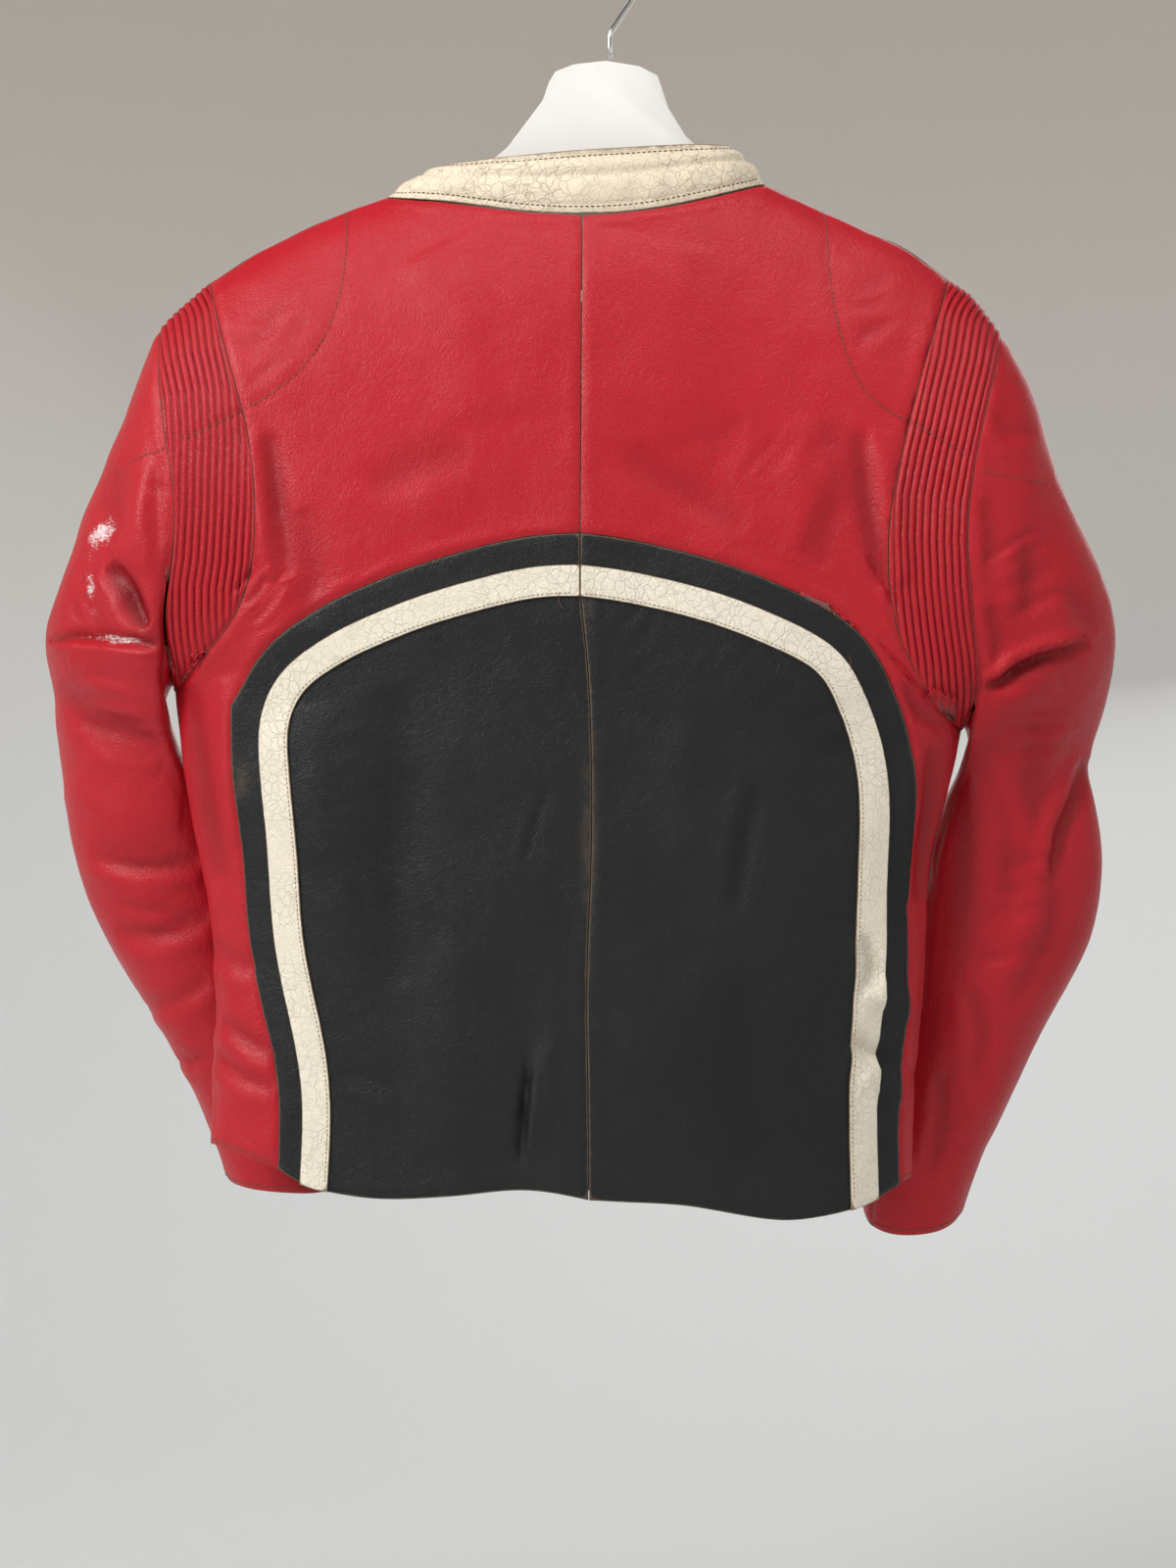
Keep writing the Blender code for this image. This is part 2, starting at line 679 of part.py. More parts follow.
def build_back(half, materials):
    """Red back, black arch and stripe of one half."""
    seam = [mixed(APEX, NECK_BACK, s) for s in closing(YOKE_ROWS)]
    left = half.side_line + half.stretch_inner
    right = half.arch + seam[1:]
    cols = RED_SHOULDER_COLS + NECK_COLS
    foot = sampled((half.side_line[0], half.arch[0]), even(cols))
    shoulder = half.crest(half.places["stretch_top"][0], half.places["neck"][0], RED_SHOULDER_COLS)
    head = shoulder[:-1] + half.neck_back
    crowding = [1.0] * (SIDE_ROWS + 1) + list(BACK_CROWDING)
    red = Sheet()
    red.add(laid("back", spread(foot, head, left, right, crowding)))
    leather("back_red_" + half.side, red, materials["red"])

    black = Sheet()
    band_rows = [[line[i] for line in half.band] for i in range(len(half.arch))]
    black.add(laid("back", band_rows))
    inner = half.band[-1]
    corner = SIDE_ROWS + FOOT_ROWS
    seam_low = sampled(tuple(reversed(BLACK_SEAM)), even(corner))
    seam_low[-1] = inner[-1]
    foot_xs = [inner[0][0] + (HEM_CENTRE[0] - inner[0][0]) * s for s in even(ARCH_ROWS)]
    foot = [(x, half.hem_at(x)) for x in foot_xs]
    foot[0], foot[-1] = inner[0], seam_low[0]
    head = inner[corner:]
    black.add(laid("back", spread(foot, head, inner[:corner + 1], seam_low, hold=BLACK_HOLD)))
    leather("back_black_" + half.side, black, materials["black"], lift=BLACK_LIFT)

    stripe = Sheet()
    stripe.add(laid("back", [row[1:] for row in band_rows]))
    lift = BLACK_LIFT + LAYER_GAP + STRIPE_LEATHER
    leather("stripe_" + half.side, stripe, materials["stripe"], STRIPE_LEATHER, lift)


def build_stretch(half, materials):
    """Ribbed panel behind the armhole, its ribs raised over a plain inside."""
    cols = 2 * RIBS
    foot = sampled((half.stretch_inner[0], half.stretch_outer[0]), even(cols))
    head = half.crest(half.places["stretch_top"][0], half.places["shoulder_tip"][0], cols)
    rows = laid("back", spread(foot, head, half.stretch_inner, half.stretch_outer))
    heights = []
    for r in range(len(rows)):
        full = 0.0 if r in (0, len(rows) - 1) else RIB_HEIGHT
        heights.append([full * (c % 2) for c in range(cols + 1)])
    (start, start_way), (end, end_way) = rows[0][0], rows[0][-1]
    for c, share in enumerate(even(cols)):
        way = start_way.lerp(end_way, share).normalized()
        rows[0][c] = (start.lerp(end, share), way)
    ribs = Sheet()
    ribs.add(rows, heights)
    leather("stretch_" + half.side, ribs, materials["red"])


def build_front(half, materials):
    """Plain red front and the black yoke above it."""
    zip_x = CENTRE_X + half.out * ZIP_HALF_GAP
    rows = SIDE_ROWS + FRONT_ARM_ROWS
    left = half.side_line + half.armhole_front[1:]
    low_rows = rows - YOKE_ROWS
    top = half.places["yoke_top"]
    centre = [(zip_x, drop) for drop in front_drops()[:low_rows + 1]]
    yoke_seam = []
    for share in closing(YOKE_ROWS):
        turn = (1 - share) * math.pi / 2
        x = zip_x + (top[0] - zip_x) * math.cos(turn)
        drop = CREST_AT(top[0]) + (YOKE_FRONT_DROP - CREST_AT(top[0])) * math.sin(turn)
        yoke_seam.append((x, drop))
    right = centre + yoke_seam[1:]
    foot = sampled((half.side_line[0], centre[0]), even(FRONT_COLS))
    head = half.crest(half.places["shoulder_tip"][0], top[0], FRONT_COLS)
    crowding = [1.0] * (SIDE_ROWS + 1) + list(FRONT_CROWDING)
    red = Sheet()
    red.add(laid("front", spread(foot, head, left, right, crowding)))
    leather("front_" + half.side, red, materials["red"])

    neck = sampled(half.neck_front[::-1], closing(YOKE_ROWS))
    foot = [(zip_x, drop) for drop in front_drops()[low_rows:]]
    head = half.crest(top[0], half.places["neck"][0], YOKE_COLS)
    neck[0], neck[-1] = foot[-1], head[-1]
    half.neck_front = list(reversed(neck))
    yoke = Sheet()
    yoke.add(laid("front", spread(foot, head, yoke_seam, neck)))
    leather("front_yoke_" + half.side, yoke, materials["black"])


def front_drops():
    """Drops of the rows along the zip, hem to neck."""
    low_rows = SIDE_ROWS + FRONT_ARM_ROWS - YOKE_ROWS
    low = [FRONT_HEM_DROP + (YOKE_FRONT_DROP - FRONT_HEM_DROP) * s for s in even(low_rows)]
    high = [YOKE_FRONT_DROP + (NECK_FRONT_DROP - YOKE_FRONT_DROP) * s for s in even(YOKE_COLS)]
    return low + high[1:]


def sleeve_rings(half):
    """Rings of (spot, way) pairs from the armhole to the cuff.

    Each ring runs from the armpit over the back to the shoulder, then down the
    front to the armpit again.
    """
    back = [on_body("back", x, drop) for x, drop in half.stretch_outer]
    front = [on_body("front", x, drop) for x, drop in reversed(half.armhole_front)]
    first = back + front[1:]
    back_cols, front_cols = len(back) - 1, len(front) - 1
    angles = [180 * (i / back_cols) ** SLEEVE_TURN for i in range(back_cols + 1)]
    angles += [360 - 180 * ((front_cols - i) / front_cols) ** SLEEVE_TURN
               for i in range(1, front_cols + 1)]
    rows = SLEEVE_RINGS[half.side]
    spots = [[spot for spot, way in first]]
    for number, (out_x, out_drop, in_x, in_drop, depth, centre_y) in enumerate(rows, start=1):
        late = max(0.0, (number - len(rows) + CUFF_SAG_RINGS) / CUFF_SAG_RINGS)
        ring = []
        for angle in angles:
            turn = math.radians(angle)
            reach = -math.cos(turn)
            reach = math.copysign(abs(reach) ** SLEEVE_BOXINESS, reach)
            deep = -math.sin(turn)
            deep = math.copysign(abs(deep) ** SLEEVE_BOXINESS, deep)
            x = (out_x + in_x) / 2 + (out_x - in_x) / 2 * reach
            drop = (out_drop + in_drop) / 2 + (out_drop - in_drop) / 2 * reach
            drop += CUFF_SAG[half.side] * late * max(-deep, 0.0)
            ring.append(placed(x, drop, centre_y + depth * deep))
        spots.append(ring)
    return with_folds(half, angles, spots, first)


def with_folds(half, angles, spots, first):
    """Rings with their ways out, moved by the folds of the sleeve."""
    last_ring, last_col = len(spots) - 1, len(angles) - 1
    ringed = []
    for r, ring in enumerate(spots):
        row = []
        for c, spot in enumerate(ring):
            if r == 0:
                row.append(first[c])
                continue
            along = spots[min(r + 1, last_ring)][c] - spots[r - 1][c]
            before = ring[c - 1] if c > 0 else ring[last_col - 1]
            after = ring[c + 1] if c < last_col else ring[1]
            way = along.cross(after - before).normalized()
            middle = sum(ring[:-1], Vector()) / last_col
            if way.dot(spot - middle) < 0:
                way = -way
            height = 0.0
            for at_ring, at_angle, reach_ring, reach_angle, depth in SLEEVE_FOLDS[half.side]:
                far = ((r - at_ring) / reach_ring) ** 2 + ((angles[c] - at_angle) / reach_angle) ** 2
                height += depth * math.exp(-far)
            row.append((spot + way * height, way))
        row[-1] = row[0]
        ringed.append(row)
    return ringed


def build_sleeve(half, materials):
    """Top sleeve and under sleeve of one arm."""
    rings = sleeve_rings(half)
    last = len(rings[0]) - 1
    back_seam, front_seam = UNDER_BACK_COLS, last - UNDER_FRONT_COLS
    top = Sheet()
    top.add([ring[back_seam:front_seam + 1] for ring in rings])
    leather("sleeve_top_" + half.side, top, materials["red"])
    under = Sheet()
    under.add([ring[front_seam:] + ring[1:back_seam + 1] for ring in rings])
    leather("sleeve_under_" + half.side, under, materials["red"])


def build_collar(halves, materials):
    """Stand collar from the left front edge round the back to the right one."""
    left, right = halves
    base = [("front", p) for p in reversed(left.neck_front)]
    base += [("back", p) for p in left.neck_back[1:]]
    base += [("back", p) for p in reversed(right.neck_back[:-1])]
    base += [("front", p) for p in right.neck_front[1:]]
    feet = [on_body(face, *place) for face, place in base]
    rows = [feet]
    tops = []
    for (face, (x, drop)), (spot, way) in zip(base, feet):
        half = left if x < CENTRE_X else right
        share = (x - CENTRE_X) / (half.places["neck"][0] - CENTRE_X)
        share = min(max(share, -1.0), 1.0)
        top_x = COLLAR_TOP_X + half.out * COLLAR_TOP_HALF * share
        deep = math.sqrt(max(1 - share * share, 0.0))
        if face == "back":
            y = -COLLAR_TOP_DEPTH * deep
            top_drop = COLLAR_TOP_SIDE + (COLLAR_TOP_BACK - COLLAR_TOP_SIDE) * deep
        else:
            y = COLLAR_TOP_DEPTH * deep
            top_drop = COLLAR_TOP_SIDE + (COLLAR_TOP_FRONT - COLLAR_TOP_SIDE) * deep ** COLLAR_FRONT_POWER
        top_drop -= COLLAR_RIGHT_RISE * (top_x - COLLAR_TOP_X) / COLLAR_TOP_HALF
        tops.append(placed(top_x, top_drop, y))
    for r in range(1, COLLAR_ROWS + 1):
        share = r / COLLAR_ROWS
        rows.append([spot.lerp(top, share) for (spot, way), top in zip(feet, tops)])
    sheet = Sheet()
    grid = [feet]
    middle = sum(tops, Vector()) / len(tops)
    for r in range(1, COLLAR_ROWS + 1):
        row = []
        for c, spot in enumerate(rows[r]):
            below = feet[c][0]
            before, after = rows[r][max(c - 1, 0)], rows[r][min(c + 1, len(tops) - 1)]
            way = (tops[c] - below).cross(after - before).normalized()
            if way.dot(Vector((spot.x - middle.x, spot.y, 0.0))) < 0:
                way = -way
            lean = feet[c][1] * (1 - r / COLLAR_ROWS) * COLLAR_FOOT_LEAN
            way = (way + lean).normalized()
            row.append((spot + way * COLLAR_BULGE * math.sin(math.pi * r / COLLAR_ROWS), way))
        grid.append(row)
    sheet.add(grid)
    leather("collar", sheet, materials["cream"], COLLAR_LEATHER, gap=COLLAR_GAP)


def build_zip(materials):
    """Tape behind the fronts and the closed chain between them."""
    drops = front_drops()
    tape = Sheet()
    xs = (-ZIP_TAPE_HALF, -ZIP_CHAIN_HALF, ZIP_CHAIN_HALF, ZIP_TAPE_HALF)
    tape.add(laid("front", [[(CENTRE_X + x, drop) for x in xs] for drop in drops]))
    leather("zip_tape", tape, materials["tape"], ZIP_TAPE_LEATHER, -LEATHER - 2 * LAYER_GAP)
    chain = Sheet()
    chain.add(laid("front", [[(CENTRE_X + x, drop) for x in xs[1:3]] for drop in drops]))
    leather("zip_chain", chain, materials["brass"], ZIP_CHAIN_HEIGHT, ZIP_CHAIN_LIFT)


def boxes_object(name, boxes, pins, material):
    """One closed body made of boxes and pins along X that overlap, by Boolean union."""
    things = []
    for centre, size in boxes:
        bpy.ops.mesh.primitive_cube_add(size=1.0, location=centre)
        thing = bpy.context.object
        thing.scale = size
        things.append(thing)
    for centre, radius, length in pins:
        bpy.ops.mesh.primitive_cylinder_add(
            vertices=PIN_SIDES, radius=radius, depth=length, location=centre,
            rotation=(0, math.radians(90), 0))
        things.append(bpy.context.object)
    for thing in things:
        bpy.context.view_layer.objects.active = thing
        bpy.ops.object.select_all(action="DESELECT")
        thing.select_set(True)
        bpy.ops.object.transform_apply(location=True, rotation=True, scale=True)
    main = things[0]
    for other in things[1:]:
        union = main.modifiers.new("union", "BOOLEAN")
        union.operation = "UNION"
        union.object = other
        bpy.context.view_layer.objects.active = main
        bpy.ops.object.modifier_apply(modifier="union")
        bpy.data.objects.remove(other, do_unlink=True)
    mesh = main.data.copy()
    bpy.data.objects.remove(main, do_unlink=True)
    mesh.name = name
    return finished(name, mesh, material)


def build_slider(materials):
    """Zip slider with two ears, and the pull tab that hangs between them."""
    spot, way = on_body("front", CENTRE_X, SLIDER_DROP)
    back_y = spot.y + ZIP_CHAIN_LIFT + SLIDER_OFF_CHAIN
    front_y = back_y + SLIDER_THICK
    pivot = Vector((CENTRE_X, front_y + EAR_REACH / 2, spot.z))
    body = (
        Vector((CENTRE_X, (back_y + front_y) / 2, spot.z)) * MM,
        Vector((SLIDER_WIDTH, SLIDER_THICK, SLIDER_HEIGHT)) * MM,
    )
    ears = []
    for sign in (-1, 1):
        aside = sign * (SLIDER_WIDTH - EAR_WIDTH) / 2
        centre = pivot + Vector((aside, -EAR_SUNK / 2, 0.0))
        ears.append((centre * MM, Vector((EAR_WIDTH, EAR_REACH + EAR_SUNK, EAR_HEIGHT)) * MM))
    boxes_object("zip_slider", [body] + ears, [], materials["brass"])

    inside = SLIDER_WIDTH - 2 * EAR_WIDTH - 2 * LAYER_GAP
    low_length = PULL_LENGTH - PULL_STEM_LENGTH
    stem_length = PULL_STEM_LENGTH + PULL_OVERLAP
    stem = (
        Vector((0.0, 0.0, -stem_length / 2)) * MM,
        Vector((inside * PULL_STEM_SHARE, PULL_THICK, stem_length)) * MM,
    )
    low = (
        Vector((0.0, 0.0, -PULL_STEM_LENGTH - low_length / 2)) * MM,
        Vector((PULL_WIDTH, PULL_THICK, low_length)) * MM,
    )
    pin = (Vector(), PIN_RADIUS * MM, inside * MM)
    pull = boxes_object("zip_pull", [stem, low], [pin], materials["brass"])
    pull.location = pivot * MM


def build_board(materials):
    """Flat board whose arms carry the shoulders."""
    below = BOARD_BELOW_CREST
    left_arm = [(x, CREST_AT(x) + below) for x in BOARD_ARM_X["left"]]
    right_arm = [(x, CREST_AT(x) + below) for x in BOARD_ARM_X["right"]]
    outline = left_arm + list(BOARD_NECK_LEFT) + [BOARD_TOP] + list(BOARD_NECK_RIGHT) + right_arm
    outline += [(x - BOARD_LOW_SHIFT, drop + BOARD_ARM_HEIGHT) for x, drop in right_arm[::-1]]
    outline.append((CENTRE_X, BOARD_CENTRE_LOW))
    outline += [(x + BOARD_LOW_SHIFT, drop + BOARD_ARM_HEIGHT) for x, drop in left_arm[::-1]]
    curve = bpy.data.curves.new("hanger_board", "CURVE")
    curve.dimensions = "2D"
    curve.fill_mode = "BOTH"
    curve.extrude = BOARD_THICK / 2 * MM
    spline = curve.splines.new("POLY")
    spline.points.add(len(outline) - 1)
    spline.use_cyclic_u = True
    for point, (x, drop) in zip(spline.points, outline):
        point.co = (x * MM, -drop * MM, 0.0, 1.0)
    board = bpy.data.objects.new("hanger_board", curve)
    board.rotation_euler = (math.radians(90), 0, 0)
    board.data.materials.append(materials["white_paint"])
    JACKET.objects.link(board)
    weld = board.modifiers.new("weld", "WELD")
    weld.merge_threshold = WELD_DISTANCE * MM
    bevel = board.modifiers.new("round", "BEVEL")
    bevel.width = BOARD_EDGE * MM
    bevel.segments = BOARD_EDGE_STEPS
    bevel.limit_method = "ANGLE"
    bevel.angle_limit = math.radians(BOARD_CORNER_ANGLE)


def build_hook(materials):
    """Wire hook whose inner top is the origin."""
    centre_drop = HOOK_RADIUS - HOOK_WIRE / 2
    points = list(HOOK_STEM)
    leave = math.radians(HOOK_LEAVE_ANGLE)
    arc_start = (HOOK_RADIUS * math.cos(leave), centre_drop - HOOK_RADIUS * math.sin(leave))
    for share in HOOK_NECK_SHARES:
        flat = mixed(HOOK_STEM[-1], arc_start, share)
        bow = HOOK_NECK_BOW * math.sin(math.pi * share)
        points.append((flat[0] + bow * (0.5 - share), flat[1]))
    for i in range(HOOK_STEPS + 1):
        angle = math.radians(
            HOOK_LEAVE_ANGLE + (HOOK_TIP_ANGLE - HOOK_LEAVE_ANGLE) * i / HOOK_STEPS)
        points.append((HOOK_RADIUS * math.cos(angle), centre_drop - HOOK_RADIUS * math.sin(angle)))
    curve = bpy.data.curves.new("hanger_hook", "CURVE")
    curve.dimensions = "3D"
    curve.bevel_depth = HOOK_WIRE / 2 * MM
    curve.bevel_resolution = HOOK_SIDES
    curve.use_fill_caps = True
    spline = curve.splines.new("POLY")
    spline.points.add(len(points) - 1)
    for point, (x, drop) in zip(spline.points, points):
        point.co = (x * MM, 0.0, -drop * MM, 1.0)
    hook = bpy.data.objects.new("hanger_hook", curve)
    hook.data.materials.append(materials["chrome"])
    JACKET.objects.link(hook)


def main():
    """Build every piece of the jacket and its hanger."""
    materials = make_materials()
    halves = (Half("left"), Half("right"))
    for half in halves:
        build_back(half, materials)
        build_stretch(half, materials)
        build_front(half, materials)
        build_sleeve(half, materials)
    build_collar(halves, materials)
    build_zip(materials)
    build_slider(materials)
    build_board(materials)
    build_hook(materials)


clear_scene()
JACKET = bpy.data.collections.new("leather_motorcycle_jacket")
bpy.context.scene.collection.children.link(JACKET)
main()
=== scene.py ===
"""Dresses a leather motorcycle jacket that hangs on a board hanger.

Creases, stitch lines and marks are placed by pixels of the photograph, which the
sight turns into places on the leather.  Other sizes are in millimetres unless a
name says otherwise, and meshes are in metres.
"""
import logging
import math
import random
from dataclasses import dataclass
from enum import Enum

import bmesh
import bpy
import numpy as np
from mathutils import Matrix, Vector, noise
from mathutils.bvhtree import BVHTree
from mathutils.kdtree import KDTree


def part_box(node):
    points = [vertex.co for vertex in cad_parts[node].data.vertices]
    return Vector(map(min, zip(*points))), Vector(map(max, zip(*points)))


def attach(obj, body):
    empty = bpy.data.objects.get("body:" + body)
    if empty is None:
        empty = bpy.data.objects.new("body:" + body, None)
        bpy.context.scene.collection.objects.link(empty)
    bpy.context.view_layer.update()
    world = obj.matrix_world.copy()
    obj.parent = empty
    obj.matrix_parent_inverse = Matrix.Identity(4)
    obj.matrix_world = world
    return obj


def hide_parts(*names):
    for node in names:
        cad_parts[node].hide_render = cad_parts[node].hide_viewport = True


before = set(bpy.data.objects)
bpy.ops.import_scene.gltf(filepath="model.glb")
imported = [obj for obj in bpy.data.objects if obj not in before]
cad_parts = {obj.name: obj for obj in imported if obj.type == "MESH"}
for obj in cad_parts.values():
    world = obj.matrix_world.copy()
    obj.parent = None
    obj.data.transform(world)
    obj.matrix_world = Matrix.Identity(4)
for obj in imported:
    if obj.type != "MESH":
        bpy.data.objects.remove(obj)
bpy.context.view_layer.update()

MM = 0.001
CENTRE_X = -16.5
BODY = "jacket"
LOG = logging.getLogger("jacket")

Pixel = tuple[float, float]
Colour = tuple[float, float, float]
Run = list[tuple[Vector, Vector]]


class Facing(Enum):
    """Which side of the jacket a crease or mark lies on."""

    BACK = "back"
    FRONT = "front"
    ROUND = "round"


class Mark(Enum):
    """Kinds of marked place: scuffed leather (a few such spots are painted highlights), dirt and painted shade;
    the value is the mesh attribute that holds each.
    """

    SCUFF_AND_SHEEN = "scuff_and_sheen"
    SHADE = "shade"
    DIRT = "dirt"


@dataclass(frozen=True)
class Sight:
    """The photograph's point of view, level along +Y towards the jacket's back."""

    eye_x: float = -0.0124
    eye_y: float = -1.6
    eye_z: float = -0.519
    pixel: float = 0.62 * MM
    zero_x: float = 620.0
    zero_y: float = -37.0
    height_px: float = 1600.0

    def eye(self) -> Vector:
        """Place of the camera."""
        return Vector((self.eye_x, self.eye_y, self.eye_z))

    def plane(self, px: float, py: float) -> Vector:
        """Place of a pixel on the plane y = 0."""
        return Vector(((px - self.zero_x) * self.pixel, 0.0, -(py - self.zero_y) * self.pixel))

    def ray(self, px: float, py: float) -> Vector:
        """Direction from the camera through a pixel."""
        return (self.plane(px, py) - self.eye()).normalized()

    def pixels(self, spots: np.ndarray) -> np.ndarray:
        """Pixels at which places in the room are seen.

        Args:
            spots: places, one row each.

        Returns:
            Pixel columns and rows, one row for each place.
        """
        spread = (spots[:, 1] - self.eye_y) / -self.eye_y
        across = self.eye_x + (spots[:, 0] - self.eye_x) / spread
        up = self.eye_z + (spots[:, 2] - self.eye_z) / spread
        return np.stack((across / self.pixel + self.zero_x, -up / self.pixel + self.zero_y), axis=1)

    def view_angle(self) -> float:
        """Angle that the height of the photograph spans."""
        return 2 * math.atan(self.height_px * self.pixel / 2 / -self.eye_y)


SIGHT = Sight()


def smooth_step(values: np.ndarray, low: float, high: float) -> np.ndarray:
    """Values eased from 0 at low to 1 at high."""
    share = np.clip((values - low) / (high - low), 0.0, 1.0)
    return share * share * (3 - 2 * share)


def to_line(points: np.ndarray, line: tuple[Pixel, ...]) -> tuple[np.ndarray, np.ndarray, np.ndarray]:
    """Measures points against a line of straight runs.

    Args:
        points: columns x and y, one row for each point.
        line: corners of the line.

    Returns:
        Distance, distance with the sign of the side, and share of the way along.
    """
    corners = np.array(line, dtype=float)
    runs = corners[1:] - corners[:-1]
    lengths = np.maximum(np.linalg.norm(runs, axis=1), 1e-9)
    before = np.concatenate(([0.0], np.cumsum(lengths)))
    best = np.full(len(points), np.inf)
    signed = np.zeros(len(points))
    along = np.zeros(len(points))
    for start, run, length, passed in zip(corners, runs, lengths, before):
        offset = points - start
        share = np.clip((offset @ run) / length ** 2, 0.0, 1.0)
        gap = offset - share[:, None] * run
        distance = np.linalg.norm(gap, axis=1)
        side = np.sign(run[0] * offset[:, 1] - run[1] * offset[:, 0])
        nearer = distance < best
        best[nearer] = distance[nearer]
        signed[nearer] = (distance * side)[nearer]
        along[nearer] = ((passed + share * length) / before[-1])[nearer]
    return best, signed, along


@dataclass(frozen=True)
class Crease:
    """A soft trough (height below 0) or ridge along a line of pixels.

    The shoulder is the height of the leather pushed up beside it, on the side
    that is clockwise of the line when it is positive and on the other if not.
    """

    line: tuple[Pixel, ...]
    reach: float
    height: float
    shoulder: float = 0.0
    facing: Facing = Facing.BACK
    blunt: float = 0.35

    def heights(self, pixels: np.ndarray) -> np.ndarray:
        """Height in millimetres that the crease adds at each pixel."""
        scale = SIGHT.pixel / MM
        distance, signed, along = to_line(pixels, self.line)
        taper = np.clip(4 * along * (1 - along), 0.0, 1.0) ** self.blunt
        width = self.reach * (0.55 + 0.45 * taper)
        trough = self.height * np.exp(-(distance * scale / width) ** 2)
        beside = np.sign(self.shoulder) * signed * scale
        ridge = abs(self.shoulder) * np.exp(-((beside - 1.7 * width) / (1.1 * width)) ** 2)
        return (trough + ridge) * taper


@dataclass(frozen=True)
class Fan:
    """Creases spread unevenly between a first and a last line of two pixels each."""

    first: tuple[Pixel, Pixel]
    last: tuple[Pixel, Pixel]
    count: int
    reach: float
    height: float
    seed: int
    facing: Facing = Facing.BACK

    def creases(self) -> list[Crease]:
        """The creases of the fan, uneven in place, length, width and depth."""
        dice = random.Random(self.seed)
        made = []
        for i in range(self.count):
            share = (i + dice.uniform(0.1, 0.9)) / self.count
            ends = []
            for one, two in zip(self.first, self.last):
                ends.append((one[0] + (two[0] - one[0]) * share, one[1] + (two[1] - one[1]) * share))
            start, end = Vector(ends[0]), Vector(ends[1])
            low, high = dice.uniform(0.0, 0.3), dice.uniform(0.65, 1.0)
            bow = Vector((end.y - start.y, start.x - end.x)) * dice.uniform(-0.06, 0.06)
            line = (start.lerp(end, low), start.lerp(end, (low + high) / 2) + bow, start.lerp(end, high))
            strength = dice.uniform(0.5, 1.25)
            made.append(Crease(
                tuple(tuple(point) for point in line), self.reach * dice.uniform(0.75, 1.3),
                self.height * strength, -0.45 * self.height * strength, self.facing))
        return made


@dataclass(frozen=True)
class Spot:
    """A marked place (scuffed, dirty, painted shade, painted highlight): its middle, half width and half height
    in pixels, and its turn.
    """

    mark: Mark
    middle: Pixel
    half: Pixel
    turn: float
    strength: float

    def shares(self, pixels: np.ndarray) -> np.ndarray:
        """How strongly each pixel is marked, from 0 to the spot's strength."""
        turn = math.radians(self.turn)
        offset = pixels - np.array(self.middle)
        across = (offset[:, 0] * math.cos(turn) + offset[:, 1] * math.sin(turn)) / self.half[0]
        down = (-offset[:, 0] * math.sin(turn) + offset[:, 1] * math.cos(turn)) / self.half[1]
        return self.strength * np.exp(-(across ** 2 + down ** 2))


class Graph:
    """A node tree with short calls that add nodes and join them."""

    def __init__(self, tree: bpy.types.NodeTree) -> None:
        """Takes the tree that the nodes go into."""
        self.tree = tree

    def node(self, kind: str, inputs: dict | None = None, **settings: object) -> bpy.types.Node:
        """Adds a node.

        Args:
            kind: the node's type name.
            inputs: sockets or plain values for its inputs, by name or number.
            settings: properties of the node.

        Returns:
            The new node.
        """
        made = self.tree.nodes.new(kind)
        for name, value in settings.items():
            setattr(made, name, value)
        for key, value in (inputs or {}).items():
            if isinstance(value, bpy.types.NodeSocket):
                self.join(value, made.inputs[key])
            else:
                made.inputs[key].default_value = value
        return made

    def join(self, start: bpy.types.NodeSocket, end: bpy.types.NodeSocket) -> None:
        """Joins an output to an input."""
        self.tree.links.new(start, end)

    def math(self, operation: str, one: object, two: object = 0.0) -> bpy.types.NodeSocket:
        """Result of a sum on one or two sockets or values."""
        return self.node("ShaderNodeMath", {0: one, 1: two}, operation=operation).outputs[0]

    def times(self, one: object, two: object) -> bpy.types.NodeSocket:
        """Product of two sockets or values."""
        return self.math("MULTIPLY", one, two)

    def plus(self, one: object, two: object) -> bpy.types.NodeSocket:
        """Sum of two sockets or values."""
        return self.math("ADD", one, two)

    def less(self, one: object, two: object) -> bpy.types.NodeSocket:
        """The first socket or value less the second."""
        return self.math("SUBTRACT", one, two)

    def band(self, value: object, low: float, high: float, start: float = 0.0,
             end: float = 1.0) -> bpy.types.NodeSocket:
        """The value eased from start, where it is low, to end, where it is high."""
        inputs = {"Value": value, "From Min": low, "From Max": high, "To Min": start, "To Max": end}
        return self.node("ShaderNodeMapRange", inputs, interpolation_type="SMOOTHSTEP").outputs[0]

    def mix(self, share: object, one: object, two: object) -> bpy.types.NodeSocket:
        """Colour between two colours."""
        made = self.node("ShaderNodeMix", data_type="RGBA")
        for key, value in ((0, share), (6, one), (7, two)):
            if isinstance(value, bpy.types.NodeSocket):
                self.join(value, made.inputs[key])
            elif isinstance(value, tuple):
                made.inputs[key].default_value = (*value, 1.0)
            else:
                made.inputs[key].default_value = value
        return made.outputs[2]

    def noise(self, vector: object, scale: object, detail: float = 3.0,
              roughness: float = 0.55) -> bpy.types.NodeSocket:
        """Soft noise of about one wave in 1 / scale metres."""
        inputs = {"Vector": vector, "Scale": scale, "Detail": detail, "Roughness": roughness}
        return self.node("ShaderNodeTexNoise", inputs).outputs[0]

    def cells(self, vector: object, scale: object, feature: str) -> bpy.types.NodeSocket:
        """Distance in a pattern of cells, by feature."""
        inputs = {"Vector": vector, "Scale": scale}
        return self.node("ShaderNodeTexVoronoi", inputs, feature=feature).outputs["Distance"]

    def attribute(self, name: str) -> bpy.types.NodeSocket:
        """A number that the mesh holds for each point."""
        return self.node("ShaderNodeAttribute", attribute_name=name).outputs["Fac"]


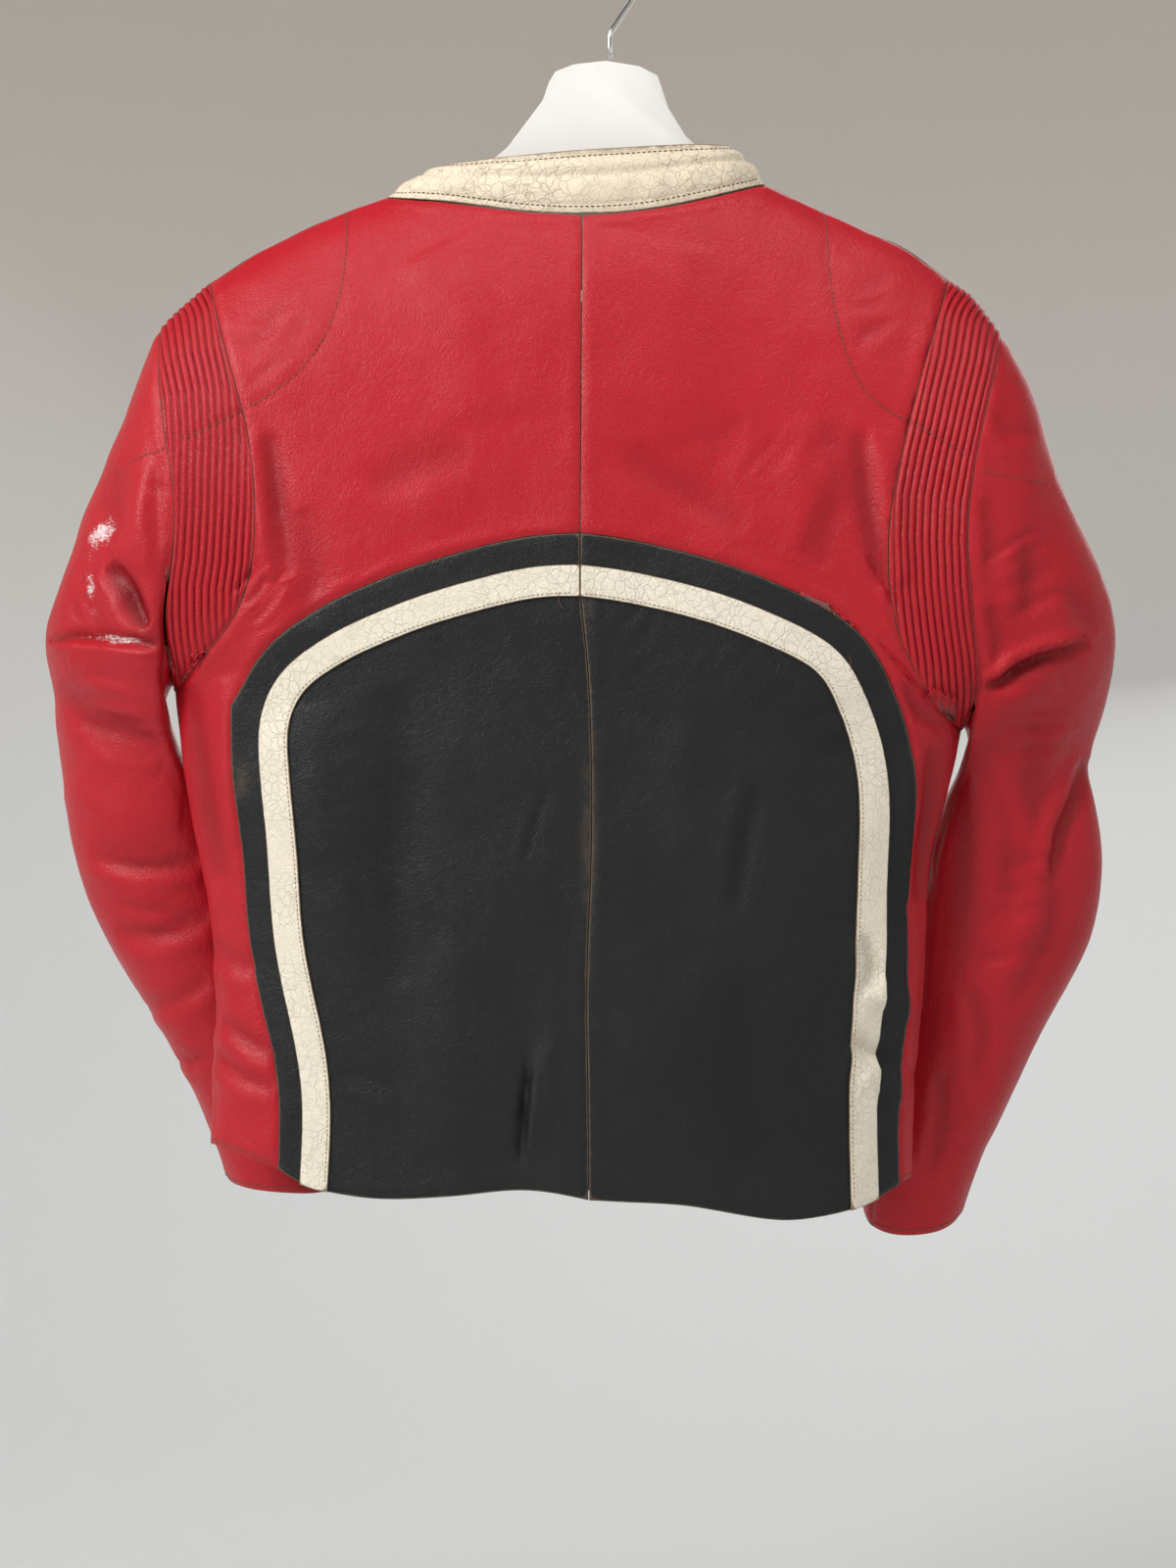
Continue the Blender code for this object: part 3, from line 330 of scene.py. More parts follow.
@dataclass
class NewMaterial:
    """A new material: its graph, its shader and the place on the object."""

    name: str

    def __post_init__(self) -> None:
        """Starts the material on object coordinates."""
        self.material = bpy.data.materials.new(self.name)
        self.material.use_nodes = True
        self.graph = Graph(self.material.node_tree)
        self.shader = self.material.node_tree.nodes["Principled BSDF"]
        self.place = self.graph.node("ShaderNodeTexCoord").outputs["Object"]

    def relief(self, height: bpy.types.NodeSocket, strength: float, depth: float) -> None:
        """Gives the surface a fine relief: its height, strength and depth in metres."""
        inputs = {"Strength": strength, "Distance": depth, "Height": height}
        self.graph.join(self.graph.node("ShaderNodeBump", inputs).outputs[0], self.shader.inputs["Normal"])


def new_group(name: str, inputs: dict[str, float | str], outputs: tuple[str, ...]) -> Graph:
    """Starts a shader node group.

    Args:
        name: the group's name.
        inputs: first value of each number, or "vector", by name.
        outputs: names of the numbers that it puts out.

    Returns:
        The group's graph, with its input and output nodes in it.
    """
    tree = bpy.data.node_groups.new(name, "ShaderNodeTree")
    for key, value in inputs.items():
        kind = "NodeSocketVector" if value == "vector" else "NodeSocketFloat"
        socket = tree.interface.new_socket(key, in_out="INPUT", socket_type=kind)
        if value != "vector":
            socket.default_value = value
    for key in outputs:
        tree.interface.new_socket(key, in_out="OUTPUT", socket_type="NodeSocketFloat")
    tree.nodes.new("NodeGroupInput")
    tree.nodes.new("NodeGroupOutput")
    return Graph(tree)


def make_grain_group() -> bpy.types.NodeTree:
    """Group with the grain, veins and cracks of leather.

    Returns:
        A group that puts out Height, Vein and Crack.
    """
    graph = new_group("leather_grain", {"Vector": "vector", "Pebble": 900.0, "Vein": 120.0, "Depth": 0.5},
                      ("Height", "Vein", "Crack"))
    given = graph.tree.nodes["Group Input"].outputs
    out = graph.tree.nodes["Group Output"].inputs
    wander = graph.node("ShaderNodeTexNoise", {"Vector": given["Vector"], "Scale": 55.0, "Detail": 4.0})
    sway = graph.node("ShaderNodeVectorMath", {0: wander.outputs["Color"], 1: (0.014, 0.014, 0.014)},
                      operation="MULTIPLY").outputs[0]
    bent = graph.node("ShaderNodeVectorMath", {0: given["Vector"], 1: sway}, operation="ADD").outputs[0]
    pebble = graph.cells(given["Vector"], given["Pebble"], "F1")
    vein = graph.cells(bent, given["Vein"], "DISTANCE_TO_EDGE")
    fine_scale = graph.times(given["Vein"], 2.7)
    fine = graph.cells(bent, fine_scale, "DISTANCE_TO_EDGE")
    broad = graph.band(vein, 0.0, 0.09)
    narrow = graph.band(fine, 0.0, 0.10)
    patches = graph.band(graph.noise(given["Vector"], 22.0, 3.0), 0.36, 0.62)
    veins = graph.times(graph.less(1.0, broad), patches)
    fines = graph.times(graph.less(1.0, narrow), 0.55)
    grain = graph.times(graph.less(1.0, pebble), 0.30)
    dents = graph.times(graph.noise(given["Vector"], 150.0, 4.0, 0.6), 0.55)
    height = graph.plus(grain, dents)
    crinkle = graph.times(graph.noise(bent, 420.0, 4.0, 0.65), 0.45)
    height = graph.plus(height, crinkle)
    furrows = graph.plus(veins, graph.times(fines, 0.9))
    height = graph.less(height, graph.times(furrows, given["Depth"]))
    graph.join(height, out["Height"])
    graph.join(graph.math("MAXIMUM", veins, fines), out["Vein"])
    graph.join(graph.less(1.0, graph.band(vein, 0.0, 0.028)), out["Crack"])
    return graph.tree


def make_wear_and_sheen_group() -> bpy.types.NodeTree:
    """Group with the worn places of leather, and with painted highlights where some marked spots stand for
    sheen.

    Returns:
        A group that puts out Rub_and_sheen (rubbed leather and painted highlights), Frayed and Patina.
    """
    graph = new_group("leather_wear_and_sheen", {"Vector": "vector", "Scuff_and_sheen": 0.0, "Edge": 10.0, "Fray": 2.0},
                      ("Rub_and_sheen", "Frayed", "Patina"))
    given = graph.tree.nodes["Group Input"].outputs
    out = graph.tree.nodes["Group Output"].inputs
    squeeze = graph.node("ShaderNodeVectorMath", {0: given["Vector"], 1: (1.0, 1.0, 2.6)},
                         operation="MULTIPLY").outputs[0]
    scratch = graph.noise(squeeze, 330.0, 6.0, 0.75)
    blotch = graph.noise(given["Vector"], 60.0, 4.0, 0.6)
    amount = graph.plus(graph.times(scratch, 0.65), graph.times(blotch, 0.55))
    # Lighter rubbed patches; some of the marked spots that drive them are painted highlights of sheen.
    limit = graph.less(1.02, graph.times(given["Scuff_and_sheen"], 0.47))
    rub_and_sheen = graph.band(graph.less(amount, limit), 0.0, 0.16)
    graph.join(rub_and_sheen, out["Rub_and_sheen"])
    ragged = graph.times(graph.noise(given["Vector"], 170.0, 3.0), 1.6)
    reach = graph.times(given["Fray"], ragged)
    gap = graph.math("DIVIDE", given["Edge"], graph.math("MAXIMUM", reach, 0.05))
    graph.join(graph.band(gap, 0.5, 1.2, 1.0, 0.0), out["Frayed"])
    graph.join(graph.band(graph.noise(given["Vector"], 11.0, 5.0, 0.62), 0.3, 0.7), out["Patina"])
    return graph.tree


@dataclass(frozen=True)
class LeatherFinish:
    """Colours and surface of one leather."""

    name: str
    base: Colour
    # deep: painted shade for crease troughs and shade spots, and the dark of the veins.
    deep: Colour
    light: Colour
    edge: Colour
    inside: Colour
    roughness: float
    pebble: float
    vein: float
    bump: float
    vein_dark: float
    crack_dark: float = 0.0
    fray: float = 0.4
    # Colour of rubbed leather, also used for painted highlights.
    rub_and_sheen_colour: Colour = (0.78, 0.70, 0.70)
    vein_depth: float = 0.16
    gloss: float = 0.30

    def materials(self, groups: dict[str, bpy.types.NodeTree]) -> list[bpy.types.Material]:
        """Materials for the face, the inside and the cut edge, in that order."""
        return [self.face(groups), self.flat("inside", self.inside, 0.9), self.flat("edge", self.edge, 0.8)]

    def face(self, groups: dict[str, bpy.types.NodeTree]) -> bpy.types.Material:
        """The outer face, with its grain, veins, worn places, painted shade in the folds and shade spots, and
        painted highlights.
        """
        coat = NewMaterial(self.name)
        graph, shader, place = coat.graph, coat.shader, coat.place
        grain = graph.node("ShaderNodeGroup", node_tree=groups["grain"])
        wear_and_sheen = graph.node("ShaderNodeGroup", node_tree=groups["wear_and_sheen"])
        for group in (grain, wear_and_sheen):
            graph.join(place, group.inputs["Vector"])
        grain.inputs["Pebble"].default_value = self.pebble
        grain.inputs["Vein"].default_value = self.vein
        grain.inputs["Depth"].default_value = self.vein_depth
        graph.join(graph.attribute(Mark.SCUFF_AND_SHEEN.value), wear_and_sheen.inputs["Scuff_and_sheen"])
        graph.join(graph.attribute("edge_mm"), wear_and_sheen.inputs["Edge"])
        wear_and_sheen.inputs["Fray"].default_value = self.fray
        trough = graph.attribute("trough")
        shade = graph.attribute(Mark.SHADE.value)
        dirt = graph.attribute(Mark.DIRT.value)

        patina = graph.times(wear_and_sheen.outputs["Patina"], 0.5)
        colour = graph.mix(patina, self.base, self.light)
        # Painted shade: the colour darkens towards the deep colour in crease troughs and in the shade spots.
        low = graph.plus(graph.times(trough, 0.55), shade)
        colour = graph.mix(graph.math("MINIMUM", low, 0.9), colour, self.deep)
        colour = graph.mix(graph.times(grain.outputs["Vein"], self.vein_dark), colour, self.deep)
        colour = graph.mix(graph.times(grain.outputs["Crack"], self.crack_dark), colour, self.edge)
        soiled = graph.times(dirt, graph.band(graph.noise(place, 90.0, 5.0, 0.7), 0.3, 0.65))
        colour = graph.mix(soiled, colour, self.edge)
        colour = graph.mix(wear_and_sheen.outputs["Frayed"], colour, self.edge)
        # Lighter rubbed colour on scuffed spots, and painted highlights where a spot stands for sheen.
        colour = graph.mix(graph.times(wear_and_sheen.outputs["Rub_and_sheen"], 0.85), colour, self.rub_and_sheen_colour)
        graph.join(colour, shader.inputs["Base Color"])

        rough = graph.times(graph.noise(place, 35.0, 4.0), 0.16)
        rough = graph.plus(rough, self.roughness - 0.08)
        rough = graph.plus(rough, graph.times(wear_and_sheen.outputs["Rub_and_sheen"], 0.3))
        rough = graph.plus(rough, graph.times(grain.outputs["Vein"], 0.08))
        graph.join(rough, shader.inputs["Roughness"])
        coat.relief(grain.outputs["Height"], self.bump, 0.0006)
        shader.inputs["Specular IOR Level"].default_value = self.gloss
        return coat.material

    def flat(self, part: str, colour: Colour, roughness: float) -> bpy.types.Material:
        """The napped inside or the cut edge.

        Args:
            part: name of the place.
            colour: its colour.
            roughness: its roughness.

        Returns:
            The material.
        """
        coat = NewMaterial(f"{self.name}_{part}")
        graph, shader, place = coat.graph, coat.shader, coat.place
        nap = graph.noise(place, 700.0, 5.0, 0.7)
        darker = tuple(value * 0.55 for value in colour)
        graph.join(graph.mix(nap, darker, colour), shader.inputs["Base Color"])
        coat.relief(nap, 0.5, 0.0004)
        shader.inputs["Roughness"].default_value = roughness
        return coat.material


@dataclass(frozen=True)
class PlainFinish:
    """A finish of one colour with a fine uneven surface."""

    name: str
    base: Colour
    worn: Colour
    roughness: float
    metallic: float = 0.0
    grain: float = 260.0
    bump: float = 0.15
    uneven: float = 0.5
    weave: bool = False

    def material(self) -> bpy.types.Material:
        """The finish as a material on object coordinates."""
        coat = NewMaterial(self.name)
        graph, shader, place = coat.graph, coat.shader, coat.place
        cloudy = graph.band(graph.noise(place, self.grain / 8, 5.0, 0.6), 0.35, 0.75)
        colour = graph.mix(graph.times(cloudy, self.uneven), self.base, self.worn)
        graph.join(colour, shader.inputs["Base Color"])
        height = graph.noise(place, self.grain, 4.0, 0.6)
        if self.weave:
            wave = graph.node("ShaderNodeTexWave", {"Vector": place, "Scale": 260.0, "Distortion": 0.3},
                              bands_direction="Z")
            height = graph.plus(height, wave.outputs["Fac"])
        coat.relief(height, self.bump, 0.0004)
        rough = graph.plus(graph.times(cloudy, 0.12), self.roughness)
        graph.join(rough, shader.inputs["Roughness"])
        shader.inputs["Metallic"].default_value = self.metallic
        return coat.material


RED = LeatherFinish(
    "red_leather", base=(0.43, 0.007, 0.016), deep=(0.16, 0.003, 0.006), light=(0.50, 0.012, 0.024),
    edge=(0.20, 0.05, 0.035), inside=(0.20, 0.09, 0.07), roughness=0.37, pebble=850.0, vein=150.0,
    bump=1.0, vein_dark=0.14)
BLACK = LeatherFinish(
    "black_leather", base=(0.010, 0.011, 0.012), deep=(0.004, 0.004, 0.005), light=(0.017, 0.018, 0.019),
    edge=(0.085, 0.062, 0.044), inside=(0.05, 0.045, 0.04), roughness=0.38, pebble=800.0, vein=140.0,
    bump=1.0, vein_dark=0.25, fray=1.3, rub_and_sheen_colour=(0.12, 0.12, 0.12), vein_depth=0.22, gloss=0.26)
CREAM = LeatherFinish(
    "cream_leather", base=(0.76, 0.66, 0.50), deep=(0.52, 0.40, 0.26), light=(0.84, 0.76, 0.62),
    edge=(0.22, 0.15, 0.09), inside=(0.35, 0.28, 0.20), roughness=0.50, pebble=700.0, vein=150.0,
    bump=0.9, vein_dark=0.30, crack_dark=0.55, fray=0.9, rub_and_sheen_colour=(0.80, 0.76, 0.66), vein_depth=0.5)
STRIPE = LeatherFinish(
    "stripe_leather", base=(0.80, 0.73, 0.61), deep=(0.56, 0.47, 0.35), light=(0.86, 0.81, 0.70),
    edge=(0.28, 0.20, 0.12), inside=(0.35, 0.30, 0.22), roughness=0.48, pebble=700.0, vein=170.0,
    bump=0.9, vein_dark=0.26, crack_dark=0.22, fray=0.7, rub_and_sheen_colour=(0.85, 0.82, 0.74), vein_depth=0.5)
BROWN_THREAD = PlainFinish("brown_thread", (0.13, 0.062, 0.030), (0.22, 0.12, 0.06), 0.75, bump=0.4)
TAN_THREAD = PlainFinish("tan_thread", (0.30, 0.21, 0.12), (0.42, 0.32, 0.20), 0.75, bump=0.4)
DARK_THREAD = PlainFinish("dark_thread", (0.020, 0.018, 0.016), (0.05, 0.04, 0.03), 0.75, bump=0.4)
TAPE = PlainFinish("zip_tape", (0.020, 0.020, 0.022), (0.035, 0.033, 0.032), 0.85, bump=0.6, weave=True)
ZIP_METAL = PlainFinish("zip_metal", (0.52, 0.45, 0.30), (0.30, 0.25, 0.16), 0.32, 1.0, 420.0)
PAINT = PlainFinish("hanger_paint", (0.69, 0.68, 0.65), (0.64, 0.62, 0.58), 0.42, 0.0, 120.0, 0.12, 0.6)
CHROME = PlainFinish("hook_chrome", (0.66, 0.66, 0.67), (0.50, 0.50, 0.52), 0.10, 1.0, 300.0, 0.03)

BACK_CREASES = (
    Crease(((541, 1080), (536, 1120), (531, 1186)), 3.2, -2.4, -1.6),
    Crease(((560, 1060), (556, 1110), (548, 1180)), 7.0, 1.4),
    Crease(((556, 808), (545, 842), (533, 884)), 2.6, -0.9, 0.5),
    Crease(((404, 700), (412, 790), (398, 900), (405, 1010)), 20.0, -2.2, 1.0),
    Crease(((318, 720), (322, 800), (330, 880)), 18.0, 1.6),
    Crease(((772, 800), (760, 862), (750, 930)), 7.0, -1.5, 0.9),
    Crease(((704, 735), (700, 800), (709, 870)), 16.0, 1.2),
    Crease(((655, 960), (662, 1060), (650, 1170)), 22.0, 1.5),
    Crease(((760, 990), (752, 1090), (770, 1200)), 20.0, -1.6, 1.0),
    Crease(((470, 960), (455, 1060), (462, 1180)), 20.0, 1.6, -1.0),
    Crease(((340, 1096), (372, 1102), (410, 1118)), 5.0, -0.9, 0.6),
    Crease(((882, 955), (890, 985), (886, 1012)), 6.0, -2.2, 1.4),
    Crease(((880, 1015), (905, 1022), (925, 1040)), 5.0, 2.2, -1.6),
    Crease(((872, 1060), (890, 1075), (915, 1080)), 6.0, -2.0, 1.6),
    Crease(((876, 1100), (896, 1112), (922, 1122)), 6.0, 1.9, -1.4),
    Crease(((273, 440), (281, 500), (292, 590)), 7.0, -2.6, 1.8),
    Crease(((306, 520), (318, 590), (310, 640)), 11.0, -1.2, 0.8),
    Crease(((877, 440), (886, 510), (903, 600)), 8.0, -2.4, -1.8),
    Crease(((846, 430), (850, 500), (835, 580)), 12.0, -1.5, 1.0),
    Crease(((812, 560), (838, 500), (850, 455)), 9.0, 1.1),
    Crease(((430, 260), (470, 330), (480, 430)), 26.0, 1.8, -1.2),
    Crease(((700, 250), (680, 340), (700, 450)), 26.0, 1.6, 1.2),
    Crease(((640, 470), (700, 500), (760, 540)), 12.0, -1.0, 0.7),
    Crease(((380, 500), (430, 470), (480, 460)), 13.0, -1.0, 0.7),
    Crease(((190, 700), (204, 800), (222, 900)), 10.0, -2.2, 1.6),
    Crease(((230, 690), (232, 780), (240, 860)), 8.0, 1.8),
    Crease(((226, 1040), (252, 1062), (285, 1082)), 6.0, -1.6, 1.0),
    Crease(((222, 1076), (250, 1100), (280, 1112)), 6.0, -1.4, 1.0),
    Crease(((218, 960), (236, 980), (262, 990)), 7.0, -1.2, 0.8),
    Crease(((952, 760), (947, 830), (938, 920)), 7.0, -2.4, 1.8),
    Crease(((930, 930), (934, 1000), (926, 1090)), 7.0, 1.6, -1.0),
    Crease(((922, 700), (940, 730), (962, 742)), 6.0, -1.4, 0.9),
)
BACK_FANS = (
    Fan(((608, 660), (655, 606)), ((650, 745), (722, 655)), 7, 2.4, -0.7, 11),
    Fan(((782, 722), (884, 706)), ((800, 820), (892, 790)), 7, 2.6, -0.8, 12),
    Fan(((700, 690), (760, 640)), ((760, 760), (850, 690)), 6, 3.0, -0.6, 13),
    Fan(((330, 742), (372, 730)), ((330, 800), (380, 792)), 4, 3.0, -0.5, 14),
    Fan(((230, 600), (262, 560)), ((262, 640), (300, 590)), 5, 2.6, -0.7, 15),
    Fan(((905, 600), (930, 640)), ((880, 560), (905, 590)), 4, 2.8, -0.7, 16),
    Fan(((240, 330), (300, 300)), ((250, 400), (330, 340)), 5, 4.0, -0.6, 17),
    Fan(((860, 300), (925, 270)), ((868, 370), (930, 330)), 5, 4.0, -0.6, 18),
    Fan(((700, 470), (760, 410)), ((770, 510), (840, 440)), 5, 4.0, -0.6, 19),
    Fan(((640, 1010), (700, 1060)), ((620, 1090), (690, 1150)), 5, 4.5, -0.6, 20),
    Fan(((350, 880), (380, 960)), ((420, 880), (450, 960)), 4, 4.5, -0.6, 21),
)
FRONT_CREASES = (
    Crease(((500, 640), (430, 900), (440, 1160)), 16.0, 2.6, -1.6, Facing.FRONT),
    Crease(((760, 640), (800, 900), (790, 1160)), 16.0, 2.6, 1.6, Facing.FRONT),
    Crease(((300, 640), (380, 800), (470, 900)), 10.0, -2.4, 1.6, Facing.FRONT),
    Crease(((880, 640), (800, 800), (720, 900)), 10.0, -2.4, -1.6, Facing.FRONT),
    Crease(((280, 900), (330, 980), (420, 1040)), 9.0, -1.8, 1.2, Facing.FRONT),
    Crease(((900, 930), (840, 1010), (760, 1050)), 9.0, -1.8, -1.2, Facing.FRONT),
    Crease(((520, 380), (500, 520), (520, 640)), 12.0, -1.6, 1.0, Facing.FRONT),
    Crease(((690, 380), (710, 520), (680, 640)), 12.0, -1.6, -1.0, Facing.FRONT),
)
FRONT_FANS = (
    Fan(((300, 640), (380, 600)), ((330, 760), (420, 700)), 6, 3.5, -0.8, 31, Facing.FRONT),
    Fan(((900, 640), (830, 600)), ((880, 760), (800, 700)), 6, 3.5, -0.8, 32, Facing.FRONT),
)
SLEEVE_CREASES = {
    "left": (
        Crease(((112, 578), (126, 600), (136, 622), (148, 640)), 6.5, -7.5, 3.0),
        Crease(((50, 655), (78, 650), (112, 652), (163, 660)), 3.4, -3.6, 2.2),
        Crease(((70, 672), (110, 668), (165, 684)), 9.0, 2.2),
        Crease(((150, 500), (140, 540), (120, 572)), 9.0, 2.0, -1.4),
        Crease(((166, 470), (160, 520), (164, 570)), 6.0, -2.0, 1.4),
        Crease(((60, 700), (100, 742), (170, 762)), 9.0, -2.2, 1.4),
        Crease(((70, 800), (110, 830), (186, 836)), 11.0, 1.8, -1.4),
        Crease(((92, 870), (140, 884), (205, 880)), 7.0, -2.2, 1.5),
        Crease(((120, 950), (160, 955), (214, 935)), 7.0, -2.0, 1.4),
        Crease(((150, 1030), (180, 1020), (214, 1000)), 6.0, -1.6, 1.2),
        Crease(((180, 1080), (196, 1082), (214, 1076)), 5.0, -1.5, 1.0),
        Crease(((120, 470), (112, 510), (118, 560)), 10.0, -1.6, 1.0),
        Crease(((60, 640), (120, 650), (180, 660)), 9.0, -4.0, 2.0, Facing.FRONT),
        Crease(((80, 560), (130, 600), (190, 620)), 9.0, -3.0, 2.0, Facing.FRONT),
        Crease(((80, 780), (140, 800), (200, 790)), 9.0, -2.6, 1.6, Facing.FRONT),
        Crease(((120, 930), (170, 950), (230, 930)), 8.0, -2.2, 1.4, Facing.FRONT),
    ),
    "right": (
        Crease(((1003, 702), (1022, 697), (1040, 682), (1062, 672), (1092, 664), (1112, 656)), 4.2, -5.0, -3.4),
        Crease(((1010, 722), (1040, 706), (1080, 694)), 8.0, 1.6),
        Crease(((1046, 556), (1052, 590), (1048, 630)), 7.0, -1.8, 1.0),
        Crease(((1008, 620), (1020, 650), (1016, 680)), 6.0, -2.0, 1.2),
        Crease(((1090, 600), (1106, 622), (1116, 646)), 8.0, -1.8, 1.2),
        Crease(((1109, 775), (1098, 815), (1083, 852), (1074, 898)), 5.5, -4.2, 2.4),
        Crease(((1060, 740), (1052, 800), (1066, 860)), 10.0, -1.8, 1.2),
        Crease(((1010, 780), (1030, 850), (1026, 930)), 9.0, -2.0, 1.4),
        Crease(((1080, 900), (1070, 960), (1030, 1030)), 9.0, -2.0, 1.2),
        Crease(((990, 1010), (1004, 1060), (996, 1120)), 7.0, -2.2, 1.4),
        Crease(((960, 1100), (962, 1150), (950, 1200)), 6.0, -2.0, 1.4),
        Crease(((1020, 1060), (1000, 1110), (985, 1160)), 7.0, 1.6, -1.0),
        Crease(((1010, 420), (1030, 440), (1060, 442)), 6.0, -1.2, 0.8),
        Crease(((1004, 510), (1012, 540), (1010, 580)), 7.0, -1.6, 1.2),
        Crease(((980, 640), (1040, 660), (1110, 640)), 9.0, -4.0, -2.0, Facing.FRONT),
        Crease(((980, 740), (1040, 770), (1110, 760)), 9.0, -2.8, 1.8, Facing.FRONT),
        Crease(((960, 900), (1020, 930), (1080, 910)), 9.0, -2.4, 1.6, Facing.FRONT),
        Crease(((940, 1080), (980, 1090), (1020, 1070)), 7.0, -2.0, 1.4, Facing.FRONT),
    ),
}
SLEEVE_FANS = {
    "left": (
        Fan(((96, 590), (128, 652)), ((60, 610), (80, 655)), 4, 3.0, -1.0, 41),
        Fan(((90, 850), (205, 860)), ((120, 950), (212, 960)), 7, 3.4, -0.9, 42),
        Fan(((70, 680), (160, 700)), ((80, 760), (180, 790)), 5, 3.4, -0.8, 43),
        Fan(((160, 1020), (216, 1010)), ((190, 1110), (216, 1100)), 5, 3.0, -0.8, 44),
        Fan(((70, 560), (190, 560)), ((90, 760), (200, 740)), 7, 5.0, -1.4, 45, Facing.FRONT),
    ),
    "right": (
        Fan(((1010, 700), (1100, 700)), ((1000, 780), (1100, 770)), 5, 3.4, -0.9, 51),
        Fan(((1000, 560), (1060, 520)), ((1010, 640), (1100, 600)), 5, 3.6, -0.8, 52),
        Fan(((1000, 880), (1100, 860)), ((980, 1000), (1080, 980)), 6, 3.6, -0.9, 53),
        Fan(((950, 1090), (1010, 1070)), ((930, 1200), (985, 1190)), 6, 3.0, -0.9, 54),
        Fan(((990, 600), (1110, 600)), ((980, 800), (1100, 800)), 7, 5.0, -1.4, 55, Facing.FRONT),
    ),
}
UNDER_CREASES = {
    "left": (
        Crease(((180, 700), (190, 800), (205, 900)), 8.0, -2.0, 1.2),
    ),
    "right": (
        Crease(((962, 842), (976, 880), (972, 940), (960, 1010)), 5.0, -4.5, 2.5),
        Crease(((984, 860), (992, 930), (976, 1000), (950, 1060)), 5.0, -4.0, 2.4),
        Crease(((950, 880), (952, 950), (944, 1030)), 4.0, -3.0, 1.8),
    ),
}
SPOTS = (
    # Scuffs of worn leather; the two spots marked below are painted highlights, lighter patches where sheen
    # catches the light.
    Spot(Mark.SCUFF_AND_SHEEN, (102, 548), (16, 26), 20.0, 0.95),
    Spot(Mark.SCUFF_AND_SHEEN, (92, 598), (13, 24), 0.0, 0.95),
    Spot(Mark.SCUFF_AND_SHEEN, (104, 628), (15, 12), 30.0, 0.85),
    Spot(Mark.SCUFF_AND_SHEEN, (112, 652), (56, 6), 4.0, 0.85),
    Spot(Mark.SCUFF_AND_SHEEN, (128, 665), (38, 22), 10.0, 0.50),
    Spot(Mark.SCUFF_AND_SHEEN, (128, 520), (30, 34), 25.0, 0.38),
    Spot(Mark.SCUFF_AND_SHEEN, (112, 740), (40, 50), 0.0, 0.30),
    Spot(Mark.SCUFF_AND_SHEEN, (180, 880), (16, 20), 15.0, 0.52),
    Spot(Mark.SCUFF_AND_SHEEN, (196, 935), (10, 34), 0.0, 0.42),
    Spot(Mark.SCUFF_AND_SHEEN, (160, 850), (40, 30), 0.0, 0.28),
    Spot(Mark.SCUFF_AND_SHEEN, (950, 800), (9, 26), 5.0, 0.50),
    Spot(Mark.SCUFF_AND_SHEEN, (886, 1120), (12, 62), -3.0, 0.62),
    # Painted highlight: the lighter patch of sheen on the fold at the right edge, not worn leather.
    Spot(Mark.SCUFF_AND_SHEEN, (912, 986), (9, 26), 12.0, 0.60),
    Spot(Mark.SCUFF_AND_SHEEN, (705, 810), (34, 60), 0.0, 0.30),
    Spot(Mark.SCUFF_AND_SHEEN, (600, 850), (10, 60), 0.0, 0.34),
    # Painted highlight: the lighter vertical patch of sheen on the black leather at the left, not worn leather.
    Spot(Mark.SCUFF_AND_SHEEN, (322, 760), (20, 46), 0.0, 0.22),
    Spot(Mark.SCUFF_AND_SHEEN, (372, 1104), (36, 16), 10.0, 0.34),
    Spot(Mark.SCUFF_AND_SHEEN, (740, 1215), (90, 14), 3.0, 0.34),
    Spot(Mark.SCUFF_AND_SHEEN, (1040, 560), (30, 50), 0.0, 0.25),
    Spot(Mark.DIRT, (601, 850), (7, 90), 0.0, 0.8),
    Spot(Mark.DIRT, (247, 796), (9, 18), 0.0, 0.75),
    Spot(Mark.DIRT, (601, 620), (5, 26), 0.0, 0.5),
    Spot(Mark.DIRT, (690, 144), (60, 7), -4.0, 0.8),
    Spot(Mark.DIRT, (520, 153), (70, 5), 0.0, 0.5),
    # Painted shade: darker patches in the hollows of the elbows and under the arms, and in the right elbow
    # crease.
    Spot(Mark.SHADE, (985, 870), (16, 120), 4.0, 0.55),
    Spot(Mark.SHADE, (951, 1050), (16, 90), 0.0, 0.45),
    Spot(Mark.SHADE, (132, 612), (11, 24), -25.0, 0.35),
    Spot(Mark.SHADE, (152, 650), (12, 14), 0.0, 0.45),
    Spot(Mark.SHADE, (1042, 684), (40, 6), -22.0, 0.50),
    Spot(Mark.SHADE, (168, 600), (8, 60), 0.0, 0.30),
)


@dataclass
class Boundary:
    """One side of a sheet's border, between two corners."""

    spots: list[Vector]
    ways: list[Vector]
    inward: list[Vector]

    def middle(self) -> Vector:
        """Place halfway along the side."""
        return self.spots[len(self.spots) // 2]


